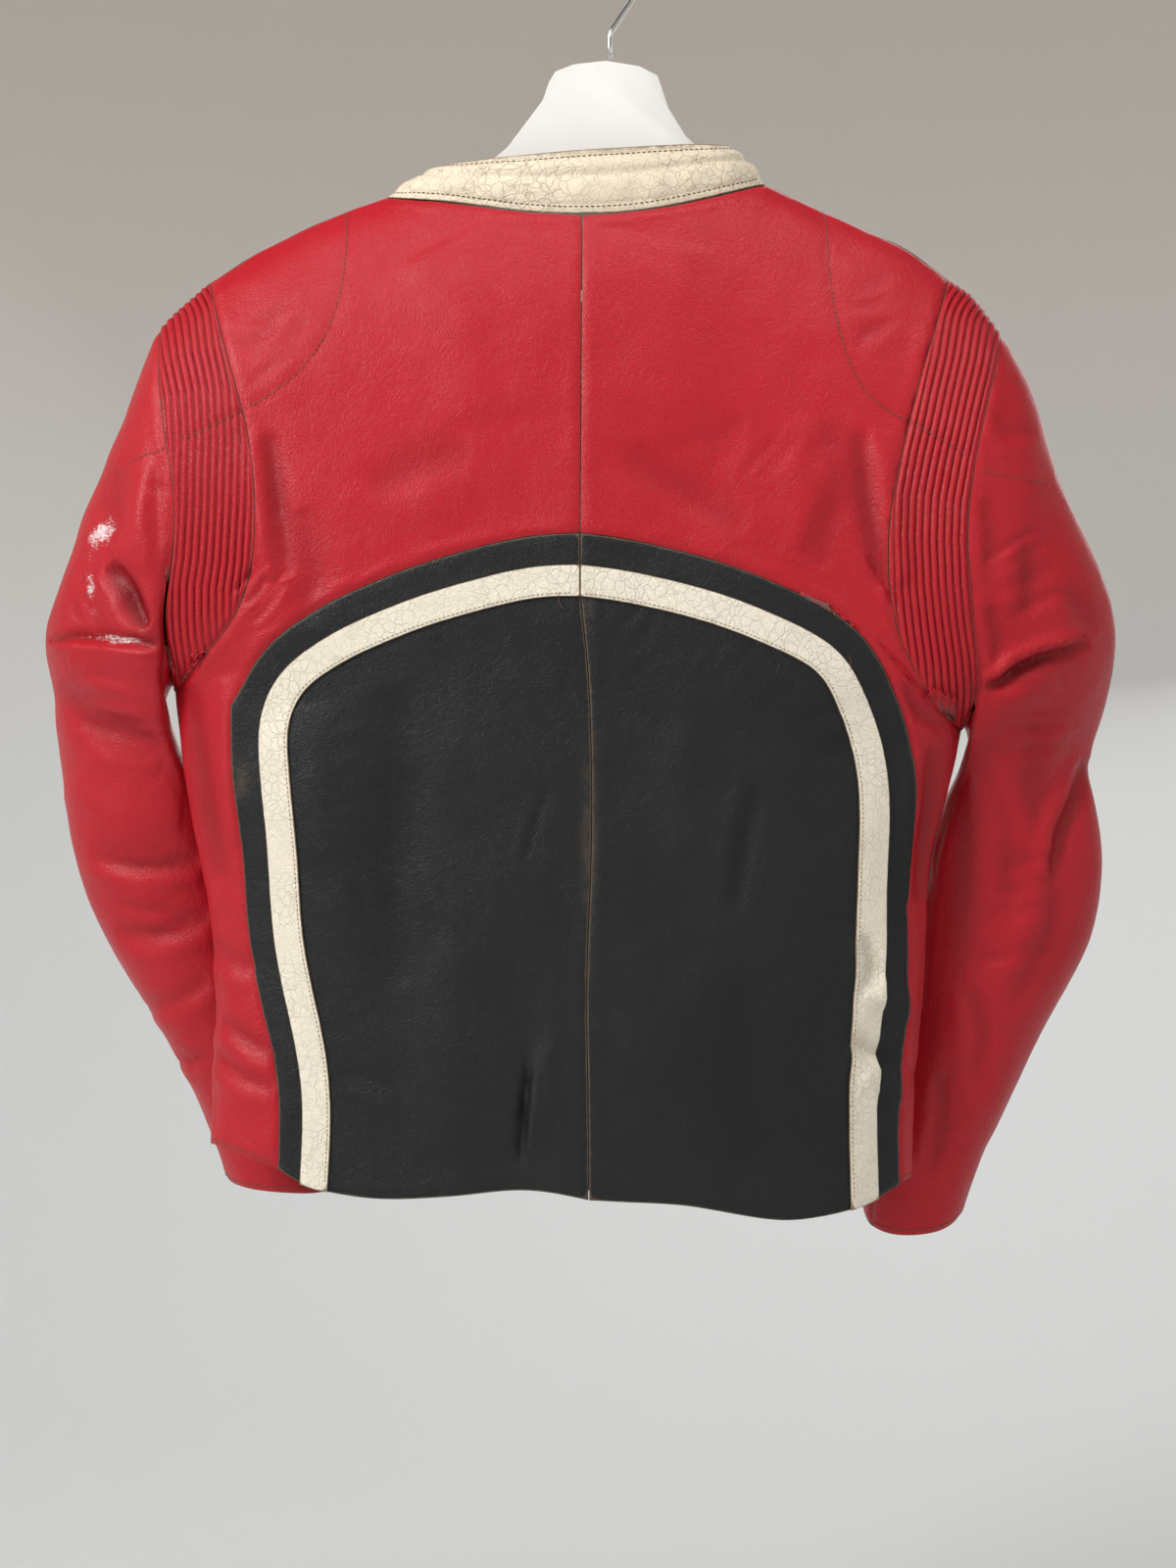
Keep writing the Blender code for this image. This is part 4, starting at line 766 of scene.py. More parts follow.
@dataclass
class LeatherShell:
    """A thin leather panel on the form of its solid."""

    node: str
    slot: str
    finish: LeatherFinish
    cut: tuple[float, float]
    creases: tuple[Crease, ...] = ()
    fans: tuple[Fan, ...] = ()
    thickness: float = 1.4
    levels: int = 3
    roll: float = 0.7
    ridge: float = 0.45
    wave: float = 1.2
    ripple: float = 0.45
    plain_inside: bool = False
    wall_limit: float = 2.6
    bend: float = 80.0
    corner_angle: float = 35.0
    gain: float = 1.7
    hold: float = 0.0
    pinch: float = 0.75
    slow_waves: float = 16.0
    quick_waves: float = 52.0
    pucker_waves: float = 95.0
    roll_reach: float = 2.4
    ridge_place: float = 5.5
    ridge_reach: float = 3.6
    least_share: float = 0.31

    def build(self, materials: dict[str, list[bpy.types.Material]]) -> bpy.types.Object:
        """Makes the shell and puts it in the place of its solid.

        Args:
            materials: the materials of each finish.

        Returns:
            The shell's object.
        """
        mesh = self.smooth_sheet()
        count = len(mesh.vertices)
        spots = np.empty(count * 3)
        ways = np.empty(count * 3)
        mesh.vertices.foreach_get("co", spots)
        mesh.vertices.foreach_get("normal", ways)
        spots, ways = spots.reshape(-1, 3), ways.reshape(-1, 3)
        if self.plain_inside:
            spots = spots + ways * self.thickness * MM
        edge = self.edge_distance(mesh, spots)
        pixels = SIGHT.pixels(spots)
        folds = self.fold_heights(pixels, ways) * self.gain
        if self.hold:
            folds *= smooth_step(edge, 0.0, self.hold)
        heights = folds + self.surface_heights(spots, edge) + self.own_heights(mesh, spots, pixels, edge)
        mesh.vertices.foreach_set("co", (spots + ways * heights[:, None] * MM).ravel())
        self.store(mesh, "edge_mm", edge)
        # Crease depth, which the leather material turns into painted shade.
        self.store(mesh, "trough", np.clip(-folds / 4.0, 0.0, 1.0))
        seen = smooth_step(-ways[:, 1], -0.15, 0.2)
        # Masks of the marked spots: scuffed leather (two spots are painted highlights), dirt, and painted
        # shade; seen keeps them on the sides that face the camera.
        for mark in Mark:
            worn = sum((spot.shares(pixels) for spot in SPOTS if spot.mark is mark), np.zeros(count))
            self.store(mesh, mark.value, np.clip(worn * seen + self.own_mark(mark, mesh, spots), 0.0, 1.0))
        mesh.update()
        self.sides = self.border_sides(mesh)
        self.tree = self.surface_tree(mesh)
        return self.walled(mesh, materials[self.finish.name])

    def smooth_sheet(self) -> bpy.types.Mesh:
        """The outer face of the solid as a finely divided open mesh."""
        grid = bmesh.new()
        grid.from_mesh(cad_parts[self.node].data)
        bmesh.ops.remove_doubles(grid, verts=grid.verts, dist=0.01 * MM)
        grid.normal_update()
        keep = self.outer_faces(grid)
        spare = [face for face in grid.faces if face.index not in keep]
        bmesh.ops.delete(grid, geom=spare, context="FACES")
        if self.plain_inside:
            bmesh.ops.reverse_faces(grid, faces=grid.faces)
        bmesh.ops.join_triangles(
            grid, faces=grid.faces, angle_face_threshold=math.radians(60),
            angle_shape_threshold=math.radians(80), topology_influence=1.0)
        self.hold_corners(grid)
        mesh = bpy.data.meshes.new(self.node + "_shell")
        grid.to_mesh(mesh)
        grid.free()
        return divided(mesh, self.levels)

    def hold_corners(self, grid: bmesh.types.BMesh) -> None:
        """Keeps the border's corners in place when the sheet is smoothed."""
        hold = grid.verts.layers.float.new("crease_vert")
        firm = grid.edges.layers.float.new("crease_edge")
        for vert in grid.verts:
            border = [edge for edge in vert.link_edges if edge.is_boundary]
            if len(border) != 2:
                continue
            one, two = (edge.other_vert(vert).co - vert.co for edge in border)
            if one.angle(two) < math.radians(180.0 - self.corner_angle):
                vert[hold] = 1.0
        for edge in grid.edges:
            if edge.is_boundary:
                edge[firm] = 1.0

    def outer_faces(self, grid: bmesh.types.BMesh) -> set[int]:
        """Numbers of the solid's faces that make its outer side, or its inner one if that is plain."""
        rim = self.rim_faces(grid)
        limit = math.radians(self.bend)
        done = set(rim)
        groups = []
        for face in grid.faces:
            if face.index in done:
                continue
            done.add(face.index)
            waiting, group = [face], []
            while waiting:
                current = waiting.pop()
                group.append(current)
                for edge in current.edges:
                    if len(edge.link_faces) != 2 or edge.calc_face_angle() > limit:
                        continue
                    for other in edge.link_faces:
                        if other.index not in done:
                            done.add(other.index)
                            waiting.append(other)
            groups.append(group)
        groups.sort(key=lambda group: -sum(face.calc_area() for face in group))
        wanted = min if self.plain_inside else max
        chosen = wanted(groups[:2], key=self.turned_out)
        other = groups[1] if chosen is groups[0] else groups[0]
        return self.whole_side(chosen, other)

    def whole_side(self, chosen: list[bmesh.types.BMFace], other: list[bmesh.types.BMFace]) -> set[int]:
        """Numbers of the chosen faces and of all joined to them that share no point with the other side."""
        far = {vert.index for face in other for vert in face.verts}
        done = {face.index for face in chosen}
        waiting = list(chosen)
        kept = set(done)
        while waiting:
            current = waiting.pop()
            if any(vert.index in far for vert in current.verts):
                continue
            kept.add(current.index)
            for edge in current.edges:
                for face in edge.link_faces:
                    if face.index not in done:
                        done.add(face.index)
                        waiting.append(face)
        return kept

    def rim_faces(self, grid: bmesh.types.BMesh) -> set[int]:
        """Numbers of the faces along the solid's cut edge, which have no face close behind."""
        grid.faces.ensure_lookup_table()
        tree = BVHTree.FromBMesh(grid)
        rim = set()
        for face in grid.faces:
            middle = face.calc_center_median()
            hit = tree.ray_cast(middle - face.normal * 0.02 * MM, -face.normal)
            if hit[3] is None or hit[3] > self.wall_limit * MM:
                rim.add(face.index)
        return rim

    def turned_out(self, group: list[bmesh.types.BMFace]) -> float:
        """How much a group of faces looks away from the middle of what it covers."""
        total = 0.0
        for face in group:
            middle = face.calc_center_median()
            total += face.calc_area() * face.normal.dot(middle - self.core(middle))
        return total

    def core(self, spot: Vector) -> Vector:
        """Middle of the jacket, or of the sleeve, at the height of a place."""
        if "sleeve" not in self.node:
            return Vector((CENTRE_X * MM, 0.005, spot.z))
        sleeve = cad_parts["sleeve_top_" + self.node.split("_")[-1]].data
        near = sorted(sleeve.vertices, key=lambda vertex: abs(vertex.co.z - spot.z))[:60]
        return sum((vertex.co for vertex in near), Vector()) / len(near)

    def edge_distance(self, mesh: bpy.types.Mesh, spots: np.ndarray) -> np.ndarray:
        """Distance in millimetres of each point from the panel's border."""
        marks = []
        for one, two in border_edges(mesh):
            start, end = Vector(spots[one]), Vector(spots[two])
            marks += [start.lerp(end, share) for share in (0.0, 0.25, 0.5, 0.75)]
        near = KDTree(len(marks))
        for number, mark in enumerate(marks):
            near.insert(mark, number)
        near.balance()
        return np.array([near.find(spot)[2] for spot in spots]) / MM

    def fold_heights(self, pixels: np.ndarray, ways: np.ndarray) -> np.ndarray:
        """Heights of the creases and fans."""
        every = list(self.creases)
        for fan in self.fans:
            every += fan.creases()
        sides = {
            Facing.BACK: smooth_step(-ways[:, 1], -0.1, 0.25),
            Facing.FRONT: smooth_step(ways[:, 1], -0.1, 0.25),
            Facing.ROUND: np.ones(len(ways)),
        }
        heights = np.zeros(len(pixels))
        for crease in every:
            heights += crease.heights(pixels) * sides[crease.facing]
        return heights

    def surface_heights(self, spots: np.ndarray, edge: np.ndarray) -> np.ndarray:
        """Heights of the slow waves, the small ripples and the turned border."""
        shift = Vector((5.0, 2.0, 1.0))
        slow = np.array([noise.noise(Vector(spot) * self.slow_waves) for spot in spots])
        quick = np.array([noise.noise(Vector(spot) * self.quick_waves + shift) for spot in spots])
        pucker = np.array([noise.noise(Vector(spot) * self.pucker_waves) for spot in spots])
        turned = -self.roll * np.exp(-(edge / self.roll_reach) ** 2)
        beside = np.exp(-((edge - self.ridge_place) / self.ridge_reach) ** 2)
        raised = self.ridge * (1 + 1.3 * pucker) * beside
        return self.wave * slow + self.ripple * quick + turned + raised

    def own_heights(self, mesh: bpy.types.Mesh, spots: np.ndarray, pixels: np.ndarray,
                    edge: np.ndarray) -> np.ndarray:
        """Heights that only this kind of panel has."""
        return np.zeros(len(spots))

    def own_mark(self, mark: Mark, mesh: bpy.types.Mesh, spots: np.ndarray) -> np.ndarray:
        """Marks that only this kind of panel has, such as worn leather, dirt and painted shade."""
        return np.zeros(len(spots))

    def store(self, mesh: bpy.types.Mesh, name: str, values: np.ndarray) -> None:
        """Keeps a number for each point in the mesh."""
        attribute = mesh.attributes.new(name, "FLOAT", "POINT")
        attribute.data.foreach_set("value", values.astype(np.float32))

    def border_sides(self, mesh: bpy.types.Mesh) -> list[Boundary]:
        """The border's sides, split at its corners."""
        loop = longest_loop(border_edges(mesh))
        spots = [mesh.vertices[i].co.copy() for i in loop]
        ways = [mesh.vertices[i].normal.copy() for i in loop]
        count = len(loop)
        limit = math.radians(self.corner_angle)
        corners = []
        for i in range(count):
            before = spots[i] - spots[i - 1]
            after = spots[(i + 1) % count] - spots[i]
            if before.length > 0 and after.length > 0 and before.angle(after) > limit:
                corners.append(i)
        corners = corners or [0]
        sides = []
        for number, first in enumerate(corners):
            last = corners[(number + 1) % len(corners)]
            steps = (last - first) % count or count
            rows = [(first + step) % count for step in range(steps + 1)]
            inward = []
            for step, row in enumerate(rows):
                ahead = spots[rows[min(step + 1, steps)]] - spots[rows[max(step - 1, 0)]]
                inward.append(ways[row].cross(ahead).normalized())
            sides.append(Boundary([spots[r] for r in rows], [ways[r] for r in rows], inward))
        return sides

    def surface_tree(self, mesh: bpy.types.Mesh) -> BVHTree:
        """Search tree of the open sheet."""
        points = [vertex.co.copy() for vertex in mesh.vertices]
        return BVHTree.FromPolygons(points, [tuple(face.vertices) for face in mesh.polygons])

    def side_near(self, px: float, py: float) -> Boundary:
        """The side whose middle is seen nearest to a pixel."""
        mark = Vector((px, py))

        def gap(side: Boundary) -> float:
            seen = SIGHT.pixels(np.array([side.middle()]))[0]
            return (Vector(seen) - mark).length

        return min(self.sides, key=gap)

    def walled(self, mesh: bpy.types.Mesh, materials: list[bpy.types.Material]) -> bpy.types.Object:
        thing = placed(self.node + "_shell", mesh)
        for material in materials:
            thing.data.materials.append(material)
        wall = thing.modifiers.new("wall", "SOLIDIFY")
        wall.thickness = self.thickness * MM
        wall.offset = -1.0
        wall.material_offset = 0 if self.plain_inside else 1
        wall.material_offset_rim = 2
        soft = thing.modifiers.new("soft_edge", "BEVEL")
        soft.width = 0.35 * MM
        soft.segments = 2
        soft.limit_method = "ANGLE"
        soft.angle_limit = math.radians(65.0)
        apply_modifiers(thing)
        for face in thing.data.polygons:
            face.use_smooth = True
            if face.material_index == 1 and self.pinched(face.center):
                face.material_index = 0
        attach(thing, BODY)
        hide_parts(self.node)
        return thing

    def pinched(self, spot: Vector) -> bool:
        """Whether a place on the inner face is squeezed up to the outer one, as in a sharp fold."""
        near, way, _, gap = self.tree.find_nearest(spot)
        return gap < self.pinch * self.thickness * MM or (spot - near).dot(way) > 0.0


class StretchShell(LeatherShell):
    """A ribbed panel whose ribs run along its sleeve seam."""

    seam: tuple[Pixel, ...] = ()
    pitch: float = 4.65
    rib_height: float = 1.9

    def own_heights(self, mesh: bpy.types.Mesh, spots: np.ndarray, pixels: np.ndarray,
                    edge: np.ndarray) -> np.ndarray:
        """Heights of the ribs: round tops and narrow valleys."""
        distance = to_line(pixels, self.seam)[0] * SIGHT.pixel / MM
        sway = np.array([noise.noise(Vector(spot) * 25.0) for spot in spots]) * 0.5
        top = np.abs(np.sin(np.pi * (distance + sway) / self.pitch)) ** 0.62
        fade = smooth_step(edge, 0.4, 3.0)
        return self.rib_height * (top - 0.45) * fade

    def own_mark(self, mark: Mark, mesh: bpy.types.Mesh, spots: np.ndarray) -> np.ndarray:
        """Shade in the valleys."""
        if mark is not Mark.SHADE:
            return np.zeros(len(spots))
        distance = to_line(SIGHT.pixels(spots), self.seam)[0] * SIGHT.pixel / MM
        return 0.8 * (1 - np.abs(np.sin(np.pi * distance / self.pitch))) ** 1.6


class CollarShell(LeatherShell):
    """The stand collar: puffed between its two stitch lines and bent at half height."""

    lump_pitch: float = 26.0
    lump_height: float = 1.5
    bend_depth: float = 1.3

    def whole_side(self, chosen: list[bmesh.types.BMFace], other: list[bmesh.types.BMFace]) -> set[int]:
        """Numbers of the chosen faces: the collar's outer side is already whole."""
        return {face.index for face in chosen}

    def measure(self, mesh: bpy.types.Mesh, spots: np.ndarray) -> tuple[np.ndarray, np.ndarray]:
        """Places on the collar.

        Args:
            mesh: the collar's sheet.
            spots: its points.

        Returns:
            The share of the height from the neck seam, and the way round in millimetres.
        """
        sides = sorted(self.border_sides(mesh), key=lambda side: -len(side.spots))[:2]
        low, high = sorted(sides, key=lambda side: side.middle().z)
        reach = []
        along = np.zeros(len(spots))
        for side in (low, high):
            near = KDTree(len(side.spots))
            for number, spot in enumerate(side.spots):
                near.insert(spot, number)
            near.balance()
            found = [near.find(spot) for spot in spots]
            reach.append(np.array([hit[2] for hit in found]))
            if side is low:
                steps = run_lengths(side.spots)
                along = np.array([steps[hit[1]] for hit in found]) / MM
        return reach[0] / np.maximum(reach[0] + reach[1], 1e-9), along

    def own_heights(self, mesh: bpy.types.Mesh, spots: np.ndarray, pixels: np.ndarray,
                    edge: np.ndarray) -> np.ndarray:
        """Heights of the lumps, the bend and the sunken stitch lines."""
        share, along = self.measure(mesh, spots)
        drift = np.array([noise.noise(Vector((value / 60.0, 0.0, 0.0))) for value in along]) * 7.0
        lumps = 0.5 + 0.5 * np.cos(2 * np.pi * (along + drift) / self.lump_pitch)
        lumps = self.lump_height * lumps * np.exp(-((share - 0.36) / 0.17) ** 2)
        bend = -self.bend_depth * np.exp(-((share - 0.58 - drift * 0.004) / 0.07) ** 2)
        roll_up = 1.0 * np.exp(-((share - 0.72) / 0.10) ** 2)
        foot_line = -0.7 * np.exp(-((share - 0.13) / 0.035) ** 2)
        top_line = -0.5 * np.exp(-((share - 0.89) / 0.035) ** 2)
        return lumps + bend + roll_up + foot_line + top_line

    def own_mark(self, mark: Mark, mesh: bpy.types.Mesh, spots: np.ndarray) -> np.ndarray:
        """Grime along the top edge and light rubbed leather at the foot."""
        share, along = self.measure(mesh, spots)
        if mark is Mark.DIRT:
            return 0.55 * smooth_step(share, 0.86, 1.0)
        if mark is Mark.SCUFF_AND_SHEEN:
            return 0.75 * smooth_step(-share, -0.16, -0.08)
        return np.zeros(len(spots))


def border_edges(mesh: bpy.types.Mesh) -> list[tuple[int, int]]:
    """Directed edges that belong to one face only, face on their left."""
    found: dict[tuple[int, int], bool] = {}
    for face in mesh.polygons:
        numbers = list(face.vertices)
        for one, two in zip(numbers, numbers[1:] + numbers[:1]):
            found[(one, two)] = True
    return [edge for edge in found if (edge[1], edge[0]) not in found]


def longest_loop(edges: list[tuple[int, int]]) -> list[int]:
    """Points of the longest closed run of directed edges."""
    follow = dict(edges)
    best: list[int] = []
    while follow:
        loop = []
        point = next(iter(follow))
        while point in follow:
            loop.append(point)
            point = follow.pop(point)
        if len(loop) > len(best):
            best = loop
    return best


def divided(mesh: bpy.types.Mesh, levels: int) -> bpy.types.Mesh:
    """A mesh after smooth subdivision that keeps its corners."""
    thing = placed("divided", mesh)
    subdivided(thing, levels, "PRESERVE_CORNERS")
    done = thing.data
    bpy.data.objects.remove(thing, do_unlink=True)
    return done


def placed(name: str, data: bpy.types.ID) -> bpy.types.Object:
    """A new object in the scene with this mesh, curve, light or camera."""
    thing = bpy.data.objects.new(name, data)
    bpy.context.scene.collection.objects.link(thing)
    return thing


def select_only(thing: bpy.types.Object) -> None:
    """Selects one object alone and makes it active."""
    bpy.ops.object.select_all(action="DESELECT")
    thing.select_set(True)
    bpy.context.view_layer.objects.active = thing


def smooth_faces(thing: bpy.types.Object) -> None:
    """Shades every face of an object smooth."""
    for face in thing.data.polygons:
        face.use_smooth = True


def report(thing: bpy.types.Object) -> None:
    """Logs a finished piece."""
    LOG.info("%s: %d faces", thing.name, len(thing.data.polygons))


def softened(thing: bpy.types.Object, width: float, segments: int, by_angle: bool = True) -> bpy.types.Object:
    """Rounds the edges of an object: by how much, in how many steps, and whether only sharp ones."""
    soft = thing.modifiers.new("soft", "BEVEL")
    soft.width = width
    soft.segments = segments
    if by_angle:
        soft.limit_method = "ANGLE"
    apply_modifiers(thing)
    return thing


def subdivided(thing: bpy.types.Object, levels: int, border: str = "ALL") -> None:
    """Smooths an object by subdivision, with the border treated as named."""
    smooth = thing.modifiers.new("smooth", "SUBSURF")
    smooth.levels = levels
    smooth.render_levels = levels
    smooth.boundary_smooth = border
    apply_modifiers(thing)


def taken_apart(pattern: bpy.types.Object) -> tuple[np.ndarray, list[tuple[int, ...]]]:
    """Points and faces of a template, which is then removed."""
    base = np.array([vertex.co for vertex in pattern.data.vertices])
    faces = [tuple(face.vertices) for face in pattern.data.polygons]
    bpy.data.objects.remove(pattern, do_unlink=True)
    return base, faces


def repeated(name: str, copies: list[np.ndarray], faces: list[tuple[int, ...]]) -> bpy.types.Object:
    """One object of many copies of a template.

    Args:
        name: the object's name.
        copies: the points of each copy.
        faces: the template's faces.

    Returns:
        The object.
    """
    every = []
    for number, copy in enumerate(copies):
        start = number * len(copy)
        every += [tuple(start + point for point in face) for face in faces]
    mesh = bpy.data.meshes.new(name)
    mesh.from_pydata(np.concatenate(copies).tolist(), [], every)
    return placed(name, mesh)


def run_lengths(spots: list[Vector]) -> list[float]:
    """Length of a line up to each of its points."""
    passed = [0.0]
    for one, two in zip(spots, spots[1:]):
        passed.append(passed[-1] + (two - one).length)
    return passed


def apply_modifiers(thing: bpy.types.Object) -> None:
    """Turns all modifiers of an object into mesh."""
    select_only(thing)
    for modifier in list(thing.modifiers):
        bpy.ops.object.modifier_apply(modifier=modifier.name)


def own_mesh(node: str, name: str) -> bpy.types.Object:
    """A merged copy of a CAD node's mesh as a new object."""
    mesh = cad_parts[node].data.copy()
    mesh.name = name
    grid = bmesh.new()
    grid.from_mesh(mesh)
    bmesh.ops.remove_doubles(grid, verts=grid.verts, dist=0.01 * MM)
    bmesh.ops.dissolve_limit(grid, angle_limit=math.radians(1.0), verts=grid.verts, edges=grid.edges)
    grid.to_mesh(mesh)
    grid.free()
    mesh.materials.clear()
    return placed(name, mesh)


def dress(thing: bpy.types.Object, material: bpy.types.Material, body: str = BODY,
          nodes: tuple[str, ...] = ()) -> bpy.types.Object:
    """Gives a finished piece its material, body and the nodes it stands for."""
    thing.data.materials.clear()
    thing.data.materials.append(material)
    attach(thing, body)
    if nodes:
        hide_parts(*nodes)
    return thing


@dataclass
class Jacket:
    """All leather panels of the jacket."""

    materials: dict[str, list[bpy.types.Material]]

    def build(self) -> dict[str, LeatherShell]:
        """Builds every panel.

        Returns:
            The shells by node name.
        """
        shells = {}
        for shell in self.panels():
            thing = shell.build(self.materials)
            report(thing)
            shells[shell.node] = shell
        return shells

    def panels(self) -> list[LeatherShell]:
        """The panels with their cuts and creases."""
        grooves = tuple(Crease(seam.line, 1.7, -0.45, blunt=0.05) for seam in SIGHT_SEAMS)
        back = {"creases": BACK_CREASES + grooves, "fans": BACK_FANS}
        front = {"creases": FRONT_CREASES, "fans": FRONT_FANS}
        made: list[LeatherShell] = []
        for side in ("left", "right"):
            made += [
                LeatherShell(f"back_red_{side}", "red_leather", RED, (0.29, 0.68), bend=88.0, **back),
                LeatherShell(f"back_black_{side}", "black_leather", BLACK, (0.25, 0.46), roll=0.25,
                             ridge=0.3, corner_angle=30.0, **back),
                LeatherShell(f"stripe_{side}", "stripe_leather", STRIPE, (0.026, 0.62), thickness=1.2,
                             roll=0.1, ridge=0.0, **back),
                LeatherShell(f"front_{side}", "red_leather", RED, (0.33, 0.68), **front),
                LeatherShell(f"front_yoke_{side}", "black_leather", BLACK, (0.16, 0.19), **front),
                LeatherShell(f"sleeve_top_{side}", "red_leather", RED, (0.28, 0.68), wave=1.4, bend=50.0,
                             gain=1.25, hold=14.0, creases=SLEEVE_CREASES[side], fans=SLEEVE_FANS[side]),
                LeatherShell(f"sleeve_under_{side}", "red_leather", RED, (0.11, 0.52), bend=60.0,
                             wall_limit=6.0, gain=1.2, hold=8.0, creases=UNDER_CREASES[side]),
            ]
            stretch = StretchShell(f"stretch_{side}", "red_leather", RED, (0.075, 0.31),
                                   plain_inside=True, wall_limit=8.0, bend=40.0, roll=0.5, ridge=0.0,
                                   ripple=0.1, **back)
            stretch.seam = STRETCH_SEAM[side]
            made.append(stretch)
        made.append(CollarShell("collar", "cream_leather", CREAM, (0.50, 0.075), thickness=2.4,
                                wall_limit=4.0, bend=40.0, roll=0.6, ridge=0.0, wave=0.4))
        return made


STRETCH_SEAM = {
    "left": ((162, 330), (166, 364), (175, 404), (178, 450), (176, 512), (172, 569), (168, 597),
             (168, 630), (170, 655), (175, 686), (180, 712)),
    "right": ((1024, 335), (1018, 372), (1005, 430), (996, 469), (988, 513), (986, 550), (988, 594),
              (992, 634), (997, 672), (999, 705), (996, 740)),
}


@dataclass(frozen=True)
class Thread:
    """How a line is sewn: thread thickness, length of a stitch and of its step."""

    finish: PlainFinish
    radius: float = 0.30
    stitch: float = 2.3
    step: float = 3.1


@dataclass(frozen=True)
class EdgeSeam:
    """A stitch line beside one side of a panel, named by a pixel near that side's middle."""

    node: str
    near: Pixel
    inset: float
    thread: Thread
    trim: float = 2.0


@dataclass(frozen=True)
class SightSeam:
    """A stitch line through pixels, sewn on whichever panel is seen there."""

    line: tuple[Pixel, ...]
    nodes: tuple[str, ...]
    thread: Thread


BROWN = Thread(BROWN_THREAD, radius=0.40, stitch=2.5, step=3.4)
TAN = Thread(TAN_THREAD, radius=0.30, stitch=2.0, step=2.8)
DARK = Thread(DARK_THREAD, radius=0.28)

EDGE_SEAMS = (
    EdgeSeam("collar", (605, 219), 4.2, BROWN),
    EdgeSeam("collar", (600, 152), 4.6, BROWN),
    EdgeSeam("back_black_left", (300, 640), 2.6, DARK),
    EdgeSeam("back_black_right", (880, 640), 2.6, DARK),
    EdgeSeam("back_black_left", (440, 1222), 3.4, DARK),
    EdgeSeam("back_black_right", (750, 1235), 3.4, DARK),
    EdgeSeam("stripe_left", (280, 780), 2.0, TAN),
    EdgeSeam("stripe_left", (330, 740), 2.0, TAN),
    EdgeSeam("stripe_right", (920, 780), 2.0, TAN),
    EdgeSeam("stripe_right", (870, 740), 2.0, TAN),
    EdgeSeam("back_red_left", (250, 1185), 3.6, BROWN),
    EdgeSeam("back_red_right", (925, 1205), 3.6, BROWN),
    EdgeSeam("front_left", (420, 1215), 3.6, BROWN),
    EdgeSeam("front_right", (760, 1215), 3.6, BROWN),
    EdgeSeam("front_left", (585, 800), 4.5, BROWN),
    EdgeSeam("front_right", (602, 800), 4.5, BROWN),
    EdgeSeam("front_yoke_left", (430, 400), 2.8, DARK),
    EdgeSeam("front_yoke_right", (740, 400), 2.8, DARK),
    EdgeSeam("sleeve_top_left", (270, 1215), 3.7, BROWN),
    EdgeSeam("sleeve_top_right", (935, 1265), 3.7, BROWN),
)
SIGHT_SEAMS = (
    SightSeam(((354, 216), (354, 236), (353, 258), (350, 284), (345, 308), (338, 328), (330, 345),
               (319, 362), (306, 378), (293, 390), (278, 401), (262, 411), (248, 418), (230, 428),
               (202, 442), (182, 450)), ("back_red_left", "stretch_left"), BROWN),
    SightSeam(((168, 457), (161, 461), (150, 464), (144, 466), (136, 470), (128, 475)),
              ("sleeve_top_left",), BROWN),
    SightSeam(((840, 214), (843, 232), (844, 250), (845, 270), (848, 292), (851, 314), (856, 335),
               (862, 356), (870, 376), (879, 392), (889, 406), (900, 415), (911, 422), (928, 430),
               (948, 441), (970, 454), (990, 465)), ("back_red_right", "stretch_right"), BROWN),
    SightSeam(((1003, 481), (1020, 484), (1037, 487), (1054, 491), (1070, 495)),
              ("sleeve_top_right",), BROWN),
)


